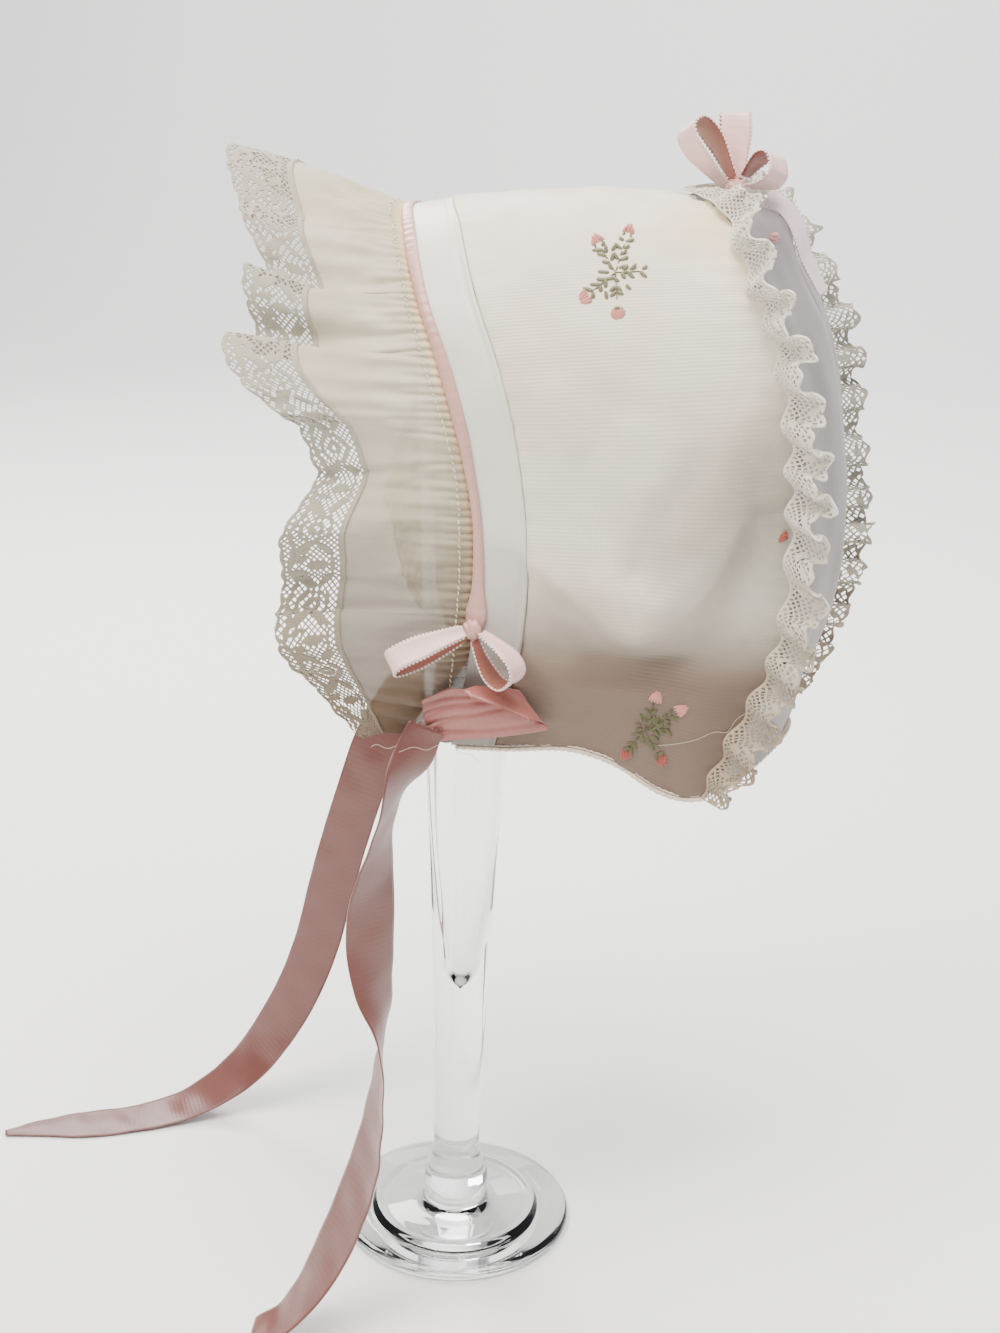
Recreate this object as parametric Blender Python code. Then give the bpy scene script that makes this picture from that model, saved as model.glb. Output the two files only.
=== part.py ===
"""Baby bonnet on a glass bud vase: silk crown, organza face ruffle, lace edging, satin ties and bows.

The origin is the centre of the stand's foot on the table, +Z up. The face opening looks along -X,
the back of the crown lies towards +X, and the near side is -Y. All sizes below are in millimetres.
"""

import math

import bmesh
import bpy
import numpy as np

MM = 0.001
GAP = 0.3  # left between touching pieces

# Cloth thicknesses
SILK_T = 1.2
BAND_T = 1.6
ORGANZA_T = 1.0
LACE_T = 1.0
RIBBON_T = 1.0

# Side panel and front band share one horseshoe surface, from the front seam to the back seam.
# a runs from the top of the head (0) to the neck hem (1); y is the half width there.
FRONT_SEAM = (  # a, x, y, z
    (0.00, -20.0, 0.0, 325.0),
    (0.14, -14.5, 24.0, 318.5),
    (0.28, -7.5, 38.5, 304.5),
    (0.42, 1.5, 45.5, 285.0),
    (0.60, 9.5, 46.0, 252.0),
    (0.80, 9.5, 44.5, 217.0),
    (1.00, 3.8, 41.5, 183.5),
)
BACK_SEAM = (  # a, x, y, z
    (0.00, 58.0, 0.0, 331.0),
    (0.12, 69.0, 17.0, 328.0),
    (0.28, 78.5, 33.0, 313.5),
    (0.42, 88.0, 40.5, 294.0),
    (0.60, 94.0, 41.0, 256.0),
    (0.80, 91.5, 39.0, 214.0),
    (0.90, 83.0, 37.5, 193.0),
    (1.00, 76.0, 36.5, 173.5),
)
CROWN_BULGE = (  # a, how far the silk stands out half-way between the seams
    (0.0, 3.4),
    (0.3, 4.2),
    (0.6, 5.0),
    (0.85, 3.0),
    (1.0, 0.8),
)
HEM_RISE = (  # u along the hem, lift of the hem above a straight line
    (0.0, 0.0),
    (0.2, 2.6),
    (0.5, 6.6),
    (0.65, 4.6),
    (0.8, -0.6),
    (0.9, -1.8),
    (1.0, 0.0),
)
HEM_RISE_FROM = 0.72  # the lift fades in below this a
BACK_SKEW = (  # a, how much further back the far side's back seam hangs
    (0.0, 0.0),
    (0.3, 6.0),
    (0.6, 8.0),
    (0.8, 9.5),
    (1.0, 13.0),
)
BAND_SHARE = 0.17  # of the way from the front seam to the back seam

CREASES = (  # from x, z to x, z on the near side, lift out of the cloth, half width
    (30.0, 214.0, 93.0, 216.0, -1.1, 3.2),
    (88.0, 258.0, 56.0, 228.0, 1.1, 4.5),
    (40.0, 262.0, 52.0, 236.0, -1.2, 6.0),
    (66.0, 262.0, 52.0, 236.0, -0.9, 6.0),
    (84.0, 320.0, 78.0, 286.0, -1.0, 4.0),
)

PANEL_BULGE = (  # a, how far the back panel stands behind its seams
    (0.00, 3.0),
    (0.05, 7.0),
    (0.12, 8.5),
    (0.28, 5.5),
    (0.42, 5.2),
    (0.60, 6.0),
    (0.80, 5.8),
    (0.90, 7.8),
    (1.00, 11.0),
)
PANEL_HEM_RISE = 7.0
PANEL_TOP_A = 0.035
PANEL_SET_BACK = 0.9

# Face ruffle: gathered edge at the front seam, then the lace's heading, then the lace's outer edge.
RUFFLE_HEAD = (  # a, x, y, z
    (0.00, -52.0, 0.0, 335.0),
    (0.14, -41.5, 27.0, 321.0),
    (0.28, -35.0, 46.0, 304.0),
    (0.42, -29.5, 57.0, 285.5),
    (0.60, -23.0, 58.0, 254.0),
    (0.80, -23.0, 57.0, 219.0),
    (0.92, -19.0, 53.0, 199.5),
    (1.00, -14.0, 47.0, 187.5),
)
LACE_EDGE = (  # a, x, y, z
    (0.00, -71.0, 0.0, 338.0),
    (0.14, -58.0, 28.0, 324.5),
    (0.28, -51.0, 49.0, 309.0),
    (0.42, -45.5, 61.5, 286.5),
    (0.60, -39.5, 61.5, 252.5),
    (0.80, -39.0, 60.0, 217.5),
    (0.92, -30.0, 55.5, 197.0),
    (1.00, -20.0, 49.0, 186.0),
)
RUFFLE_FOLDS = (  # a, lift of the fold at the lace's edge, pull towards the crown there
    (0.00, 2.5, 0.0),
    (0.05, 0.0, -1.0),
    (0.10, -5.0, 0.0),
    (0.17, 5.0, -1.0),
    (0.235, -5.5, 4.0),
    (0.29, 4.0, 0.0),
    (0.345, -6.0, -1.0),
    (0.40, 6.5, -5.0),
    (0.47, 3.0, 6.0),
    (0.545, -6.5, 10.0),
    (0.63, 5.0, 2.0),
    (0.72, -4.5, 0.0),
    (0.81, 4.5, -1.0),
    (0.90, -3.5, 0.0),
    (1.00, 1.0, 0.0),
)
LACE_REACH = 0.48  # the lace's width over the ruffle's

RIBBON_SPAN = 0.765  # the seam ribbon ends at the side bows
SEAM_RIBBON_U = (0.003, 0.037)

HEM_ROLL_R = 1.1

# Gathered lace on the back seam
TRIM_WIDTH = 12.0
TRIM_SPREAD = 2.4  # lift of its sewn edge off the silk
TRIM_MEANDER = 15.5  # length of one meander along the seam
TRIM_SWAY = (1.6, 3.4)  # side sway of the sewn edge and of the free edge
TRIM_LEAN = (  # v from the near hem (-1) to the far hem (1), lean of the lace out of the crown's line
    (-1.0, 50.0),
    (-0.5, 60.0),
    (-0.15, 64.0),
    (0.0, 20.0),
    (0.12, 66.0),
    (0.35, 52.0),
    (0.6, 32.0),
    (0.8, 16.0),
    (1.0, 10.0),
)
TRIM_ENDS = (0.5, 0.08)  # share of the width lost at the neck hem, and the length of v that it takes
TRIM_SQUEEZE = (0.78, 0.07)  # share of the width lost under the top bow, and the v that it spreads over
TRIM_DROOP = 0.9  # at the far hem the free edge hangs below the seam by this share of the width

# Glass bud vase, turned: radius and height of its outside, then of its bore
STAND_OUTSIDE = (
    (37.5, 0.0),
    (37.5, 2.0),
    (36.6, 3.2),
    (27.0, 4.0),
    (25.8, 5.2),
    (24.2, 4.6),
    (11.6, 6.2),
    (10.2, 8.5),
    (10.4, 13.0),
    (9.6, 18.0),
    (7.9, 22.5),
    (7.6, 30.0),
    (7.9, 50.0),
    (9.1, 93.0),
    (10.2, 125.0),
    (12.1, 162.0),
    (14.2, 215.0),
    (16.0, 270.0),
)
STAND_BORE = (
    (14.0, 270.0),
    (12.2, 215.0),
    (10.0, 162.0),
    (7.4, 125.0),
    (3.6, 96.0),
)
STAND_BORE_TIP = 85.0
STAND_RIM_R = 18.0
STAND_WALL = 2.0
STAND_SIDES = 24

# Ties: 16 mm satin. Each row is a point on the ribbon's centre line and the turn of its face,
# 0 with the face towards -Y and 90 edge-on.
TIE_WIDTH = 16.0
NEAR_TIE = (  # x, y, z, turn, width
    (-1.6, -50.2, 191.0, 12.0, 10.0),
    (-4.6, -51.6, 182.5, 30.0, 12.0),
    (-8.8, -52.4, 172.0, 76.0, 16.0),
    (-12.4, -52.2, 160.0, 82.0, 16.0),
    (-14.4, -52.2, 148.5, 68.0, 16.0),
    (-15.8, -52.4, 138.0, 51.0, 16.0),
    (-16.0, -53.0, 126.0, 46.0, 16.0),
    (-14.6, -54.4, 112.5, 62.0, 16.0),
    (-11.6, -56.0, 101.0, 88.0, 16.0),
    (-11.3, -58.0, 90.0, 108.0, 16.0),
    (-12.2, -60.8, 74.0, 120.0, 16.0),
    (-14.6, -63.6, 57.5, 130.0, 16.0),
    (-19.0, -66.4, 42.0, 134.0, 16.0),
    (-24.0, -69.0, 28.5, 130.0, 16.0),
    (-30.8, -71.6, 15.5, 116.0, 16.0),
    (-38.6, -73.6, 5.4, 100.0, 16.0),
    (-46.4, -75.0, 1.5, 90.0, 15.0),
)
FAR_TIE = (  # x, y, z, turn, width
    (-2.6, 49.2, 191.0, 0.0, 10.0),
    (-9.6, 51.0, 186.0, 0.0, 12.0),
    (-20.0, 52.0, 176.5, 0.0, 15.0),
    (-31.0, 50.0, 163.0, 0.0, 16.0),
    (-39.6, 46.6, 146.0, 0.0, 16.0),
    (-45.4, 45.0, 127.0, 0.0, 16.0),
    (-50.8, 45.0, 108.5, 0.0, 16.0),
    (-55.6, 45.0, 89.5, 0.0, 16.0),
    (-60.2, 45.0, 70.0, -2.0, 16.0),
    (-66.4, 44.0, 52.0, -8.0, 16.0),
    (-74.6, 43.0, 35.5, -18.0, 16.0),
    (-84.4, 42.0, 20.6, -34.0, 16.0),
    (-96.0, 39.0, 9.4, -56.0, 16.0),
    (-108.4, 33.0, 3.2, -76.0, 16.0),
    (-121.0, 26.0, 1.3, -88.0, 16.0),
    (-137.0, 18.6, 1.1, -90.0, 16.0),
    (-152.0, 12.6, 1.1, -90.0, 10.0),
    (-163.5, 6.6, 1.1, -90.0, 3.0),
)
# The knotted head of each tie: upper and lower edge of the folded satin, near side
TIE_FOLD = (  # upper x, y, z, lower x, y, z
    (-3.4, -47.6, 198.0, -1.4, -47.4, 185.6),
    (3.6, -48.0, 202.0, 5.0, -47.6, 187.0),
    (9.4, -48.4, 203.6, 15.6, -47.6, 188.6),
    (12.6, -48.2, 204.0, 30.4, -46.4, 191.8),
    (17.6, -46.6, 203.4, 31.0, -45.2, 192.2),
    (23.4, -46.0, 202.6, 31.4, -44.8, 192.4),
)

# Side bows and top bow: each loop leaves the knot, rounds its tip and comes back
BOW_RIBBON = 7.0
KNOT_R = (2.5, 1.9, 2.8)
LOOP_START = 2.5  # from the knot's centre to the ends of its loops
LOOP_TURN = 0.08  # share of a full turn left open at the knot
LOOP_APART = 0.8  # from the loop's middle to each of its two ends
NEAR_KNOT = (10.3, -47.8, 219.6)
NEAR_LOOPS = (  # name, tip x, y, z, opening, and the way the width runs
    ("front_loop", (-9.6, -59.0, 211.6), 2.6, (0.10, -0.42, 0.90)),
    ("back_loop", (22.6, -52.6, 207.0), 4.6, (-0.30, -0.90, 0.30)),
)
TOP_RIBBON = 8.4
TOP_KNOT = (70.0, 0.0, 333.9)
TOP_KNOT_R = (3.0, 3.2, 2.6)
TOP_LOOP_START = 1.9
TOP_LOOPS = (  # name, shift of its root, tip x, y, z, opening, and the way the width runs
    ("front_loop", (-1.0, -2.0, 0.4), (57.0, -3.0, 350.0), 2.6, (0.80, -0.15, 0.55)),
    ("middle_loop", (-0.6, 2.0, 0.4), (68.0, 6.0, 353.0), 2.6, (0.97, 0.20, 0.05)),
    ("back_loop", (1.0, -0.8, 0.0), (81.0, -5.0, 337.6), 3.4, (0.20, 0.95, 0.20)),
)
TAIL_SPAN = (0.10, 0.345)  # a from the bow to the tail's end
TAIL_W = (-0.06, 0.20)  # w across the back panel


def curve_rows(rows, where):
    """A smooth curve through a table whose first column is the station."""
    table = np.array(rows, float)
    key, value = table[:, 0], table[:, 1:]
    slope = np.gradient(value, key, axis=0)
    x = np.clip(np.atleast_1d(np.asarray(where, float)), key[0], key[-1])
    i = np.clip(np.searchsorted(key, x, side="right") - 1, 0, len(key) - 2)
    h = (key[i + 1] - key[i])[:, None]
    s = ((x - key[i]) / h[:, 0])[:, None]
    return (
        (2 * s**3 - 3 * s**2 + 1) * value[i]
        + (s**3 - 2 * s**2 + s) * h * slope[i]
        + (3 * s**2 - 2 * s**3) * value[i + 1]
        + (s**3 - s**2) * h * slope[i + 1]
    )


def horseshoe(rows, v):
    """Points of a seam, from the near hem (v = -1) over the head to the far hem (v = 1)."""
    near = [(-a, x, -y, z) for a, x, y, z in reversed(rows[1:])]
    return curve_rows(near + list(rows), v)


def unit(vectors):
    return vectors / np.linalg.norm(vectors, axis=-1, keepdims=True)


def out_of_head(v):
    """Unit vectors that point straight out of the crown at v, square to X."""
    step = 0.01
    lo, hi = np.clip(v - step, -1, 1), np.clip(v + step, -1, 1)
    along = horseshoe(FRONT_SEAM, hi) - horseshoe(FRONT_SEAM, lo)
    normal = np.stack([np.zeros(len(along)), -along[:, 2], along[:, 1]], 1)
    return unit(normal)


def back_seam(v):
    points = horseshoe(BACK_SEAM, v)
    points[:, 0] += curve_rows(BACK_SKEW, np.clip(v, 0, 1))[:, 0]
    return points


def crease_lift(points):
    """How far the creases push the silk in or out."""
    total = np.zeros(len(points))
    p = points[:, [0, 2]]
    for x0, z0, x1, z1, lift, half_width in CREASES:
        start, run = np.array([x0, z0]), np.array([x1 - x0, z1 - z0])
        share = np.clip((p - start) @ run / (run @ run), 0, 1)
        away = np.linalg.norm(p - start - share[:, None] * run, axis=1)
        total += lift * np.exp(-((away / half_width) ** 2))
    return total


def crown(u, v, lift=0.0):
    """The crown's middle surface: u from the front seam (0) to the back seam (1)."""
    v = np.atleast_1d(np.asarray(v, float))
    u = np.broadcast_to(np.asarray(u, float), v.shape)
    a = np.abs(v)
    front, back = horseshoe(FRONT_SEAM, v), back_seam(v)
    points = front + (back - front) * u[:, None]
    fade = np.clip((a - HEM_RISE_FROM) / (1 - HEM_RISE_FROM), 0, 1) ** 2
    points[:, 2] += curve_rows(HEM_RISE, u)[:, 0] * fade
    swell = curve_rows(CROWN_BULGE, a)[:, 0] * 4 * u * (1 - u)
    swell += crease_lift(points) * np.sin(math.pi * np.clip(u, 0, 1)) * np.clip(a * 4 - 0.6, 0, 1)
    return points + out_of_head(v) * (swell + lift)[:, None]


def panel(w, a):
    """The back panel: w from the near seam (-1) to the far seam (1), a from top to hem."""
    w = np.atleast_1d(np.asarray(w, float))
    a = np.broadcast_to(np.asarray(a, float), w.shape)
    near, far = back_seam(-a), back_seam(a)
    points = near + (far - near) * ((w + 1) / 2)[:, None]
    dome = 1 - w**2
    points[:, 0] += PANEL_SET_BACK + curve_rows(PANEL_BULGE, a)[:, 0] * dome
    points[:, 2] += PANEL_HEM_RISE * np.clip((a - 0.7) / 0.3, 0, 1) ** 2 * dome
    return points


def off_panel(w, a, lift):
    """A line across the back panel at a, lifted straight off its outer face."""
    step = 0.01
    w = np.atleast_1d(np.asarray(w, float))
    across = panel(w + step, a) - panel(w - step, a)
    down = panel(w, a + step) - panel(w, a - step)
    return panel(w, a) + lift * unit(np.cross(down, across))


def ruffle(v, t):
    """The face ruffle and its lace: t is 0 at the gathers, 1 at the heading, then the lace."""
    v = np.atleast_1d(np.asarray(v, float))
    a = np.abs(v)
    seam = horseshoe(FRONT_SEAM, v)
    head, edge = horseshoe(RUFFLE_HEAD, v), horseshoe(LACE_EDGE, v)
    if t <= 1:
        points = seam + (head - seam) * t
    else:
        points = head + (edge - head) * ((t - 1) / LACE_REACH)
    lift, pull = curve_rows(RUFFLE_FOLDS, a).T
    reach = t / (1 + LACE_REACH)
    points += out_of_head(v) * (lift * reach**1.3)[:, None]
    points[:, 0] += pull * reach - GAP * 2 * max(0.0, 1 - 3 * reach)
    return points


def stand_rim_height():
    """The vase's rim carries the crown from inside: just under the lowest silk above it."""
    lowest = 1e9
    for turn in np.linspace(0, 2 * math.pi, 48, endpoint=False):
        x, y = STAND_RIM_R * math.cos(turn), STAND_RIM_R * math.sin(turn)
        v = np.linspace(-0.3, 0.3, 121)
        for u in np.linspace(0, 0.6, 25):
            skin = crown(u, v)
            near = np.hypot(skin[:, 0] - x, skin[:, 1] - y) < 2.5
            if near.any():
                lowest = min(lowest, skin[near, 2].min())
    return lowest - SILK_T / 2 + GAP


def material(name, colour, roughness, metallic=0.0):
    mat = bpy.data.materials.new(name)
    mat.use_nodes = True
    shader = mat.node_tree.nodes["Principled BSDF"]
    shader.inputs["Base Color"].default_value = (*colour, 1.0)
    shader.inputs["Roughness"].default_value = roughness
    shader.inputs["Metallic"].default_value = metallic
    return mat


def add_mesh(name, points, faces, mat):
    mesh = bpy.data.meshes.new(name)
    mesh.from_pydata([tuple(MM * c for c in p) for p in points], [], faces)
    mesh.materials.append(mat)
    mesh.polygons.foreach_set("use_smooth", [True] * len(mesh.polygons))
    obj = bpy.data.objects.new(name, mesh)
    bpy.context.collection.objects.link(obj)
    return obj


def cloth(name, rows, thickness, mat):
    """A cloth wall around a grid of middle-surface points, one array of points per row."""
    across = len(rows[0])
    faces = []
    for r in range(len(rows) - 1):
        for c in range(across - 1):
            first = r * across + c
            faces.append((first, first + 1, first + across + 1, first + across))
    obj = add_mesh(name, np.concatenate(rows), faces, mat)
    wall = obj.modifiers.new("Wall", "SOLIDIFY")
    wall.thickness = thickness * MM
    wall.offset = 0.0
    return obj


def rolled_edge(name, path, radius, mat):
    """A thin rolled hem along a path, as a tube with closed ends."""
    line = bpy.data.curves.new(name, "CURVE")
    line.dimensions = "3D"
    line.bevel_depth = radius * MM
    line.bevel_resolution = 1
    line.use_fill_caps = True
    spline = line.splines.new("POLY")
    spline.points.add(len(path) - 1)
    for point, place in zip(spline.points, path):
        point.co = (*(MM * c for c in place), 1.0)
    line.materials.append(mat)
    obj = bpy.data.objects.new(name, line)
    bpy.context.collection.objects.link(obj)
    return obj


def make_stand(mat):
    """A turned glass bud vase: flat foot, collar, tapering stem and an open trumpet."""
    rim = stand_rim_height()
    outside = list(STAND_OUTSIDE) + [(STAND_RIM_R - 0.3, rim - 1.0), (STAND_RIM_R - 0.8, rim)]
    bore = [(STAND_RIM_R - STAND_WALL, rim - 0.4)] + list(STAND_BORE)
    profile = outside + bore
    points = [(0.0, 0.0, 0.0)]
    for radius, height in profile:
        for side in range(STAND_SIDES):
            turn = 2 * math.pi * side / STAND_SIDES
            points.append((radius * math.cos(turn), radius * math.sin(turn), height))
    points.append((0.0, 0.0, STAND_BORE_TIP))
    faces = []
    for side in range(STAND_SIDES):
        after = (side + 1) % STAND_SIDES
        faces.append((0, 1 + after, 1 + side))
        for ring in range(len(profile) - 1):
            low, high = 1 + ring * STAND_SIDES, 1 + (ring + 1) * STAND_SIDES
            faces.append((low + side, low + after, high + after, high + side))
        last = 1 + (len(profile) - 1) * STAND_SIDES
        faces.append((last + side, last + after, len(points) - 1))
    obj = add_mesh("glass_stand", points, faces, mat)
    obj.data.set_sharp_from_angle(angle=math.radians(40))
    return obj


def make_crown(silk, band_silk):
    """The silk side panel and the plain band in front of it, in one sweep over the head."""
    around = np.linspace(-1, 1, 41)
    start = BAND_SHARE + GAP / 90
    cloth("crown_panel", [crown(u, around) for u in np.linspace(start, 1 - GAP / 90, 11)], SILK_T, silk)
    band_end = BAND_SHARE
    cloth("front_band", [crown(u, around) for u in np.linspace(0, band_end, 3)], BAND_T, band_silk)


def make_back_panel(silk):
    """The rounded horseshoe that closes the back of the head."""
    levels = PANEL_TOP_A + (1 - PANEL_TOP_A) * np.linspace(0, 1, 17) ** 1.15
    across = np.linspace(-1, 1, 15)
    inset = 1 - GAP / 30
    cloth("back_panel", [panel(across * inset, a) for a in levels], SILK_T, silk)


def make_face_ruffle(organza, lace):
    """The gathered organza ruffle round the face, and the lace edging sewn to it."""
    around = np.linspace(-1, 1, 89)
    cloth("face_ruffle", [ruffle(around, t) for t in (0, 0.3, 0.65, 1.0)], ORGANZA_T, organza)
    first = 1 + GAP / 15
    lace_rows = [ruffle(around, t) for t in (first, 1 + LACE_REACH / 2, 1 + LACE_REACH)]
    cloth("face_lace", lace_rows, LACE_T, lace)


def make_seam_ribbon(satin):
    """The narrow pink ribbon that covers the front seam."""
    around = np.linspace(-RIBBON_SPAN, RIBBON_SPAN, 37)
    lift = BAND_T / 2 + GAP + RIBBON_T / 2
    cloth("seam_ribbon", [crown(u, around, lift) for u in SEAM_RIBBON_U], RIBBON_T, satin)


def make_hems(silk):
    """The rolled hems along the neck: one on each side panel, one on the back panel."""
    drop = np.array([0.0, 0.0, -(HEM_ROLL_R + GAP + 0.1)])
    along = np.linspace(0.02, 0.985, 17)
    for name, v in (("near_hem", -1.0), ("far_hem", 1.0)):
        path = np.concatenate([crown(u, v) for u in along]) + drop
        rolled_edge(name, path, HEM_ROLL_R, silk)
    across = np.linspace(-0.955, 0.955, 17)
    rolled_edge("back_hem", panel(across, 1.0) + drop, HEM_ROLL_R, silk)


def make_back_lace(lace):
    """Gathered lace that meanders round the seam between the side panel and the back panel."""
    v = np.linspace(-1, 1, 121)
    loose = 1 - TRIM_SQUEEZE[0] * np.exp(-((v / TRIM_SQUEEZE[1]) ** 2))
    loose -= TRIM_ENDS[0] * np.clip(1 - (1 - np.abs(v)) / TRIM_ENDS[1], 0, 1)
    loose = loose[:, None]
    seam = back_seam(v)
    steps = np.linalg.norm(np.diff(seam, axis=0), axis=1)
    run = np.concatenate([[0], np.cumsum(steps)])
    phase = 2 * math.pi * run / TRIM_MEANDER
    out = out_of_head(v)
    back = np.array([1.0, 0.0, 0.0])
    lean = np.radians(curve_rows(TRIM_LEAN, v)[:, 0])
    rise = out * np.sin(lean)[:, None] + back * np.cos(lean)[:, None]
    rise[:, 2] -= TRIM_DROOP * np.clip((v - 0.8) / 0.2, 0, 1) ** 2
    rise = unit(rise)
    tangent = unit(np.gradient(seam, axis=0))
    side = np.cross(tangent, rise)
    foot = seam + out * TRIM_SPREAD
    sewn = foot + loose * side * (TRIM_SWAY[0] * np.sin(phase))[:, None]
    sway = loose * side * (TRIM_SWAY[1] * np.sin(phase + 0.5))[:, None]
    free = foot + loose * rise * TRIM_WIDTH + sway
    cloth("back_lace", [sewn, (sewn + free) / 2 + sway * 0.15, free], LACE_T, lace)


def make_bow_loop(name, knot, start, shift, tip, opening, width_way, width, mat):
    """A loop of ribbon from the knot round its tip and back, as one bent strip."""
    knot, tip = np.array(knot) + np.array(shift), np.array(tip)
    ahead = unit(tip - knot)
    root = knot + ahead * start
    length = np.linalg.norm(tip - root)
    way = np.array(width_way)
    way = unit(way - ahead * (way @ ahead))
    aside = np.cross(way, ahead)
    turn = np.linspace(LOOP_TURN, 1 - LOOP_TURN, 15) * 2 * math.pi
    forward = (math.cos(turn[0]) - np.cos(turn)) / (1 + math.cos(turn[0]))
    apart = LOOP_APART * np.tanh(6 * np.sin(turn))
    apart += (opening - LOOP_APART) * np.sin(turn) * (0.3 + 0.7 * forward)
    line = root + ahead * (forward * length)[:, None] + aside * apart[:, None]
    half = (0.5 + 0.5 * np.clip(forward * 1.6, 0, 1)) * width / 2
    edges = [line - way * half[:, None], line + way * half[:, None]]
    return cloth(name, edges, RIBBON_T, mat)


def make_knot(name, centre, radii, mat):
    """A small wrapped knot."""
    mesh = bpy.data.meshes.new(name)
    shape = bmesh.new()
    bmesh.ops.create_icosphere(shape, subdivisions=2, radius=1.0)
    for vert in shape.verts:
        vert.co = [MM * (c + r * k) for c, r, k in zip(centre, radii, vert.co)]
    shape.to_mesh(mesh)
    shape.free()
    mesh.materials.append(mat)
    mesh.polygons.foreach_set("use_smooth", [True] * len(mesh.polygons))
    bpy.context.collection.objects.link(bpy.data.objects.new(name, mesh))


def mirrored(place):
    x, y, z = place
    return (x, -y, z)


def make_side_bows(satin):
    """A small bow at each end of the seam ribbon."""
    for side, flip in (("near", tuple), ("far", mirrored)):
        make_knot(f"{side}_bow_knot", flip(NEAR_KNOT), KNOT_R, satin)
        for part, tip, opening, way in NEAR_LOOPS:
            name = f"{side}_bow_{part}"
            knot, way = flip(NEAR_KNOT), flip(way)
            make_bow_loop(name, knot, LOOP_START, (0, 0, 0), flip(tip), opening, way, BOW_RIBBON, satin)


def make_top_bow(satin):
    """The bow at the top of the back seam, with one tail down the back panel."""
    make_knot("top_bow_knot", TOP_KNOT, TOP_KNOT_R, satin)
    for part, shift, tip, opening, way in TOP_LOOPS:
        name = f"top_bow_{part}"
        make_bow_loop(name, TOP_KNOT, TOP_LOOP_START, shift, tip, opening, way, TOP_RIBBON, satin)
    lift = SILK_T / 2 + GAP + RIBBON_T / 2 + 0.1
    levels = np.linspace(*TAIL_SPAN, 9)
    edges = [np.concatenate([off_panel(w, a, lift) for a in levels]) for w in TAIL_W]
    cloth("top_bow_tail", edges, RIBBON_T, satin)


def make_tie(name, rows, mat):
    """A tie ribbon along its centre line, its face turned as the table says."""
    station = np.linspace(0, 1, len(rows))
    table = [(s, *row) for s, row in zip(station, rows)]
    places = curve_rows(table, np.linspace(0, 1, 45))
    line, turn, width = places[:, :3], np.radians(places[:, 3]), places[:, 4]
    along = unit(np.gradient(line, axis=0))
    depth = np.array([0.0, 1.0, 0.0])
    depth = unit(depth - along * (along @ depth)[:, None])
    flat = np.cross(along, depth)
    across = flat * np.cos(turn)[:, None] + depth * np.sin(turn)[:, None]
    half = across * (width / 2)[:, None]
    cloth(name, [line - half, line, line + half], RIBBON_T, mat)


def make_ties(satin):
    """The two satin ties and the folded head that each one starts from."""
    rows = np.array(TIE_FOLD)
    table = np.column_stack([np.linspace(0, 1, len(rows)), rows])
    fold = curve_rows(table, np.linspace(0, 1, 16))
    for side, sign in (("near", 1.0), ("far", -1.0)):
        way = np.array([1.0, sign, 1.0])
        upper, lower = fold[:, :3] * way, fold[:, 3:] * way
        cloth(f"{side}_tie_head", [upper, (upper + lower) / 2, lower], RIBBON_T, satin)
    make_tie("near_tie", NEAR_TIE, satin)
    make_tie("far_tie", FAR_TIE, satin)


def main():
    for obj in list(bpy.data.objects):
        bpy.data.objects.remove(obj, do_unlink=True)
    silk = material("cream silk", (0.78, 0.75, 0.66), 0.55)
    band_silk = material("cream satin band", (0.74, 0.74, 0.70), 0.45)
    organza = material("cream organza", (0.62, 0.58, 0.47), 0.60)
    lace = material("cream lace", (0.77, 0.75, 0.66), 0.75)
    pink = material("pink satin", (0.68, 0.40, 0.39), 0.30)
    rose = material("dusty rose satin", (0.36, 0.15, 0.13), 0.32)
    glass = material("clear glass", (0.85, 0.88, 0.87), 0.05)
    make_stand(glass)
    make_crown(silk, band_silk)
    make_back_panel(silk)
    make_face_ruffle(organza, lace)
    make_seam_ribbon(pink)
    make_hems(silk)
    make_back_lace(lace)
    make_side_bows(pink)
    make_top_bow(pink)
    make_ties(rose)


main()
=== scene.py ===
"""A newborn's bonnet on its glass stand, dressed piece by piece around the fixed frame.

Tables give places in millimetres and meshes are in metres. +Z is up, the face opening looks along
-X, the back of the crown lies towards +X, and the near side is -Y.
"""

import math

import bpy
import numpy as np
from mathutils import Matrix, Vector
from mathutils.bvhtree import BVHTree


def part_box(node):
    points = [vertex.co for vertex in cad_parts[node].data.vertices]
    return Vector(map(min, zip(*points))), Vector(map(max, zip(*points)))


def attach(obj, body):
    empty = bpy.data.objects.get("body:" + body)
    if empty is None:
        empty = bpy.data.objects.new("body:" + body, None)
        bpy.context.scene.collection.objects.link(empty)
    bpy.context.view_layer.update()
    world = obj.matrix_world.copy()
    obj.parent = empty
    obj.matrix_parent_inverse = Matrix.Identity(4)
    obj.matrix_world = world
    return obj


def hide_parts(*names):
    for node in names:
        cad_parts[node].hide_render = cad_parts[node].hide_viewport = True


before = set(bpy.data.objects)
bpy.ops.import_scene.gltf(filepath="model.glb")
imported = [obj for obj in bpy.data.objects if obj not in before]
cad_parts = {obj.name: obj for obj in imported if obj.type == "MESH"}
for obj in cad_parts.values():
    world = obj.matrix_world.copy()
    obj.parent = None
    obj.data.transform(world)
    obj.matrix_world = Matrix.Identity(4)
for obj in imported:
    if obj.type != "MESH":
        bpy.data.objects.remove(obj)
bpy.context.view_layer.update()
MM = 0.001

# The table: one pale sheet of paper that lies under the stand and sweeps up behind it in a wide
# bend. It isn't part of the bonnet.
SHEET_SIZE, SHEET_RISE, SHEET_SWEEP = 5.0, 2.4, 0.9
SHEET_BELOW = 0.0002  # just clear of the underside of the foot
SWEEP_STEPS = 16

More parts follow.
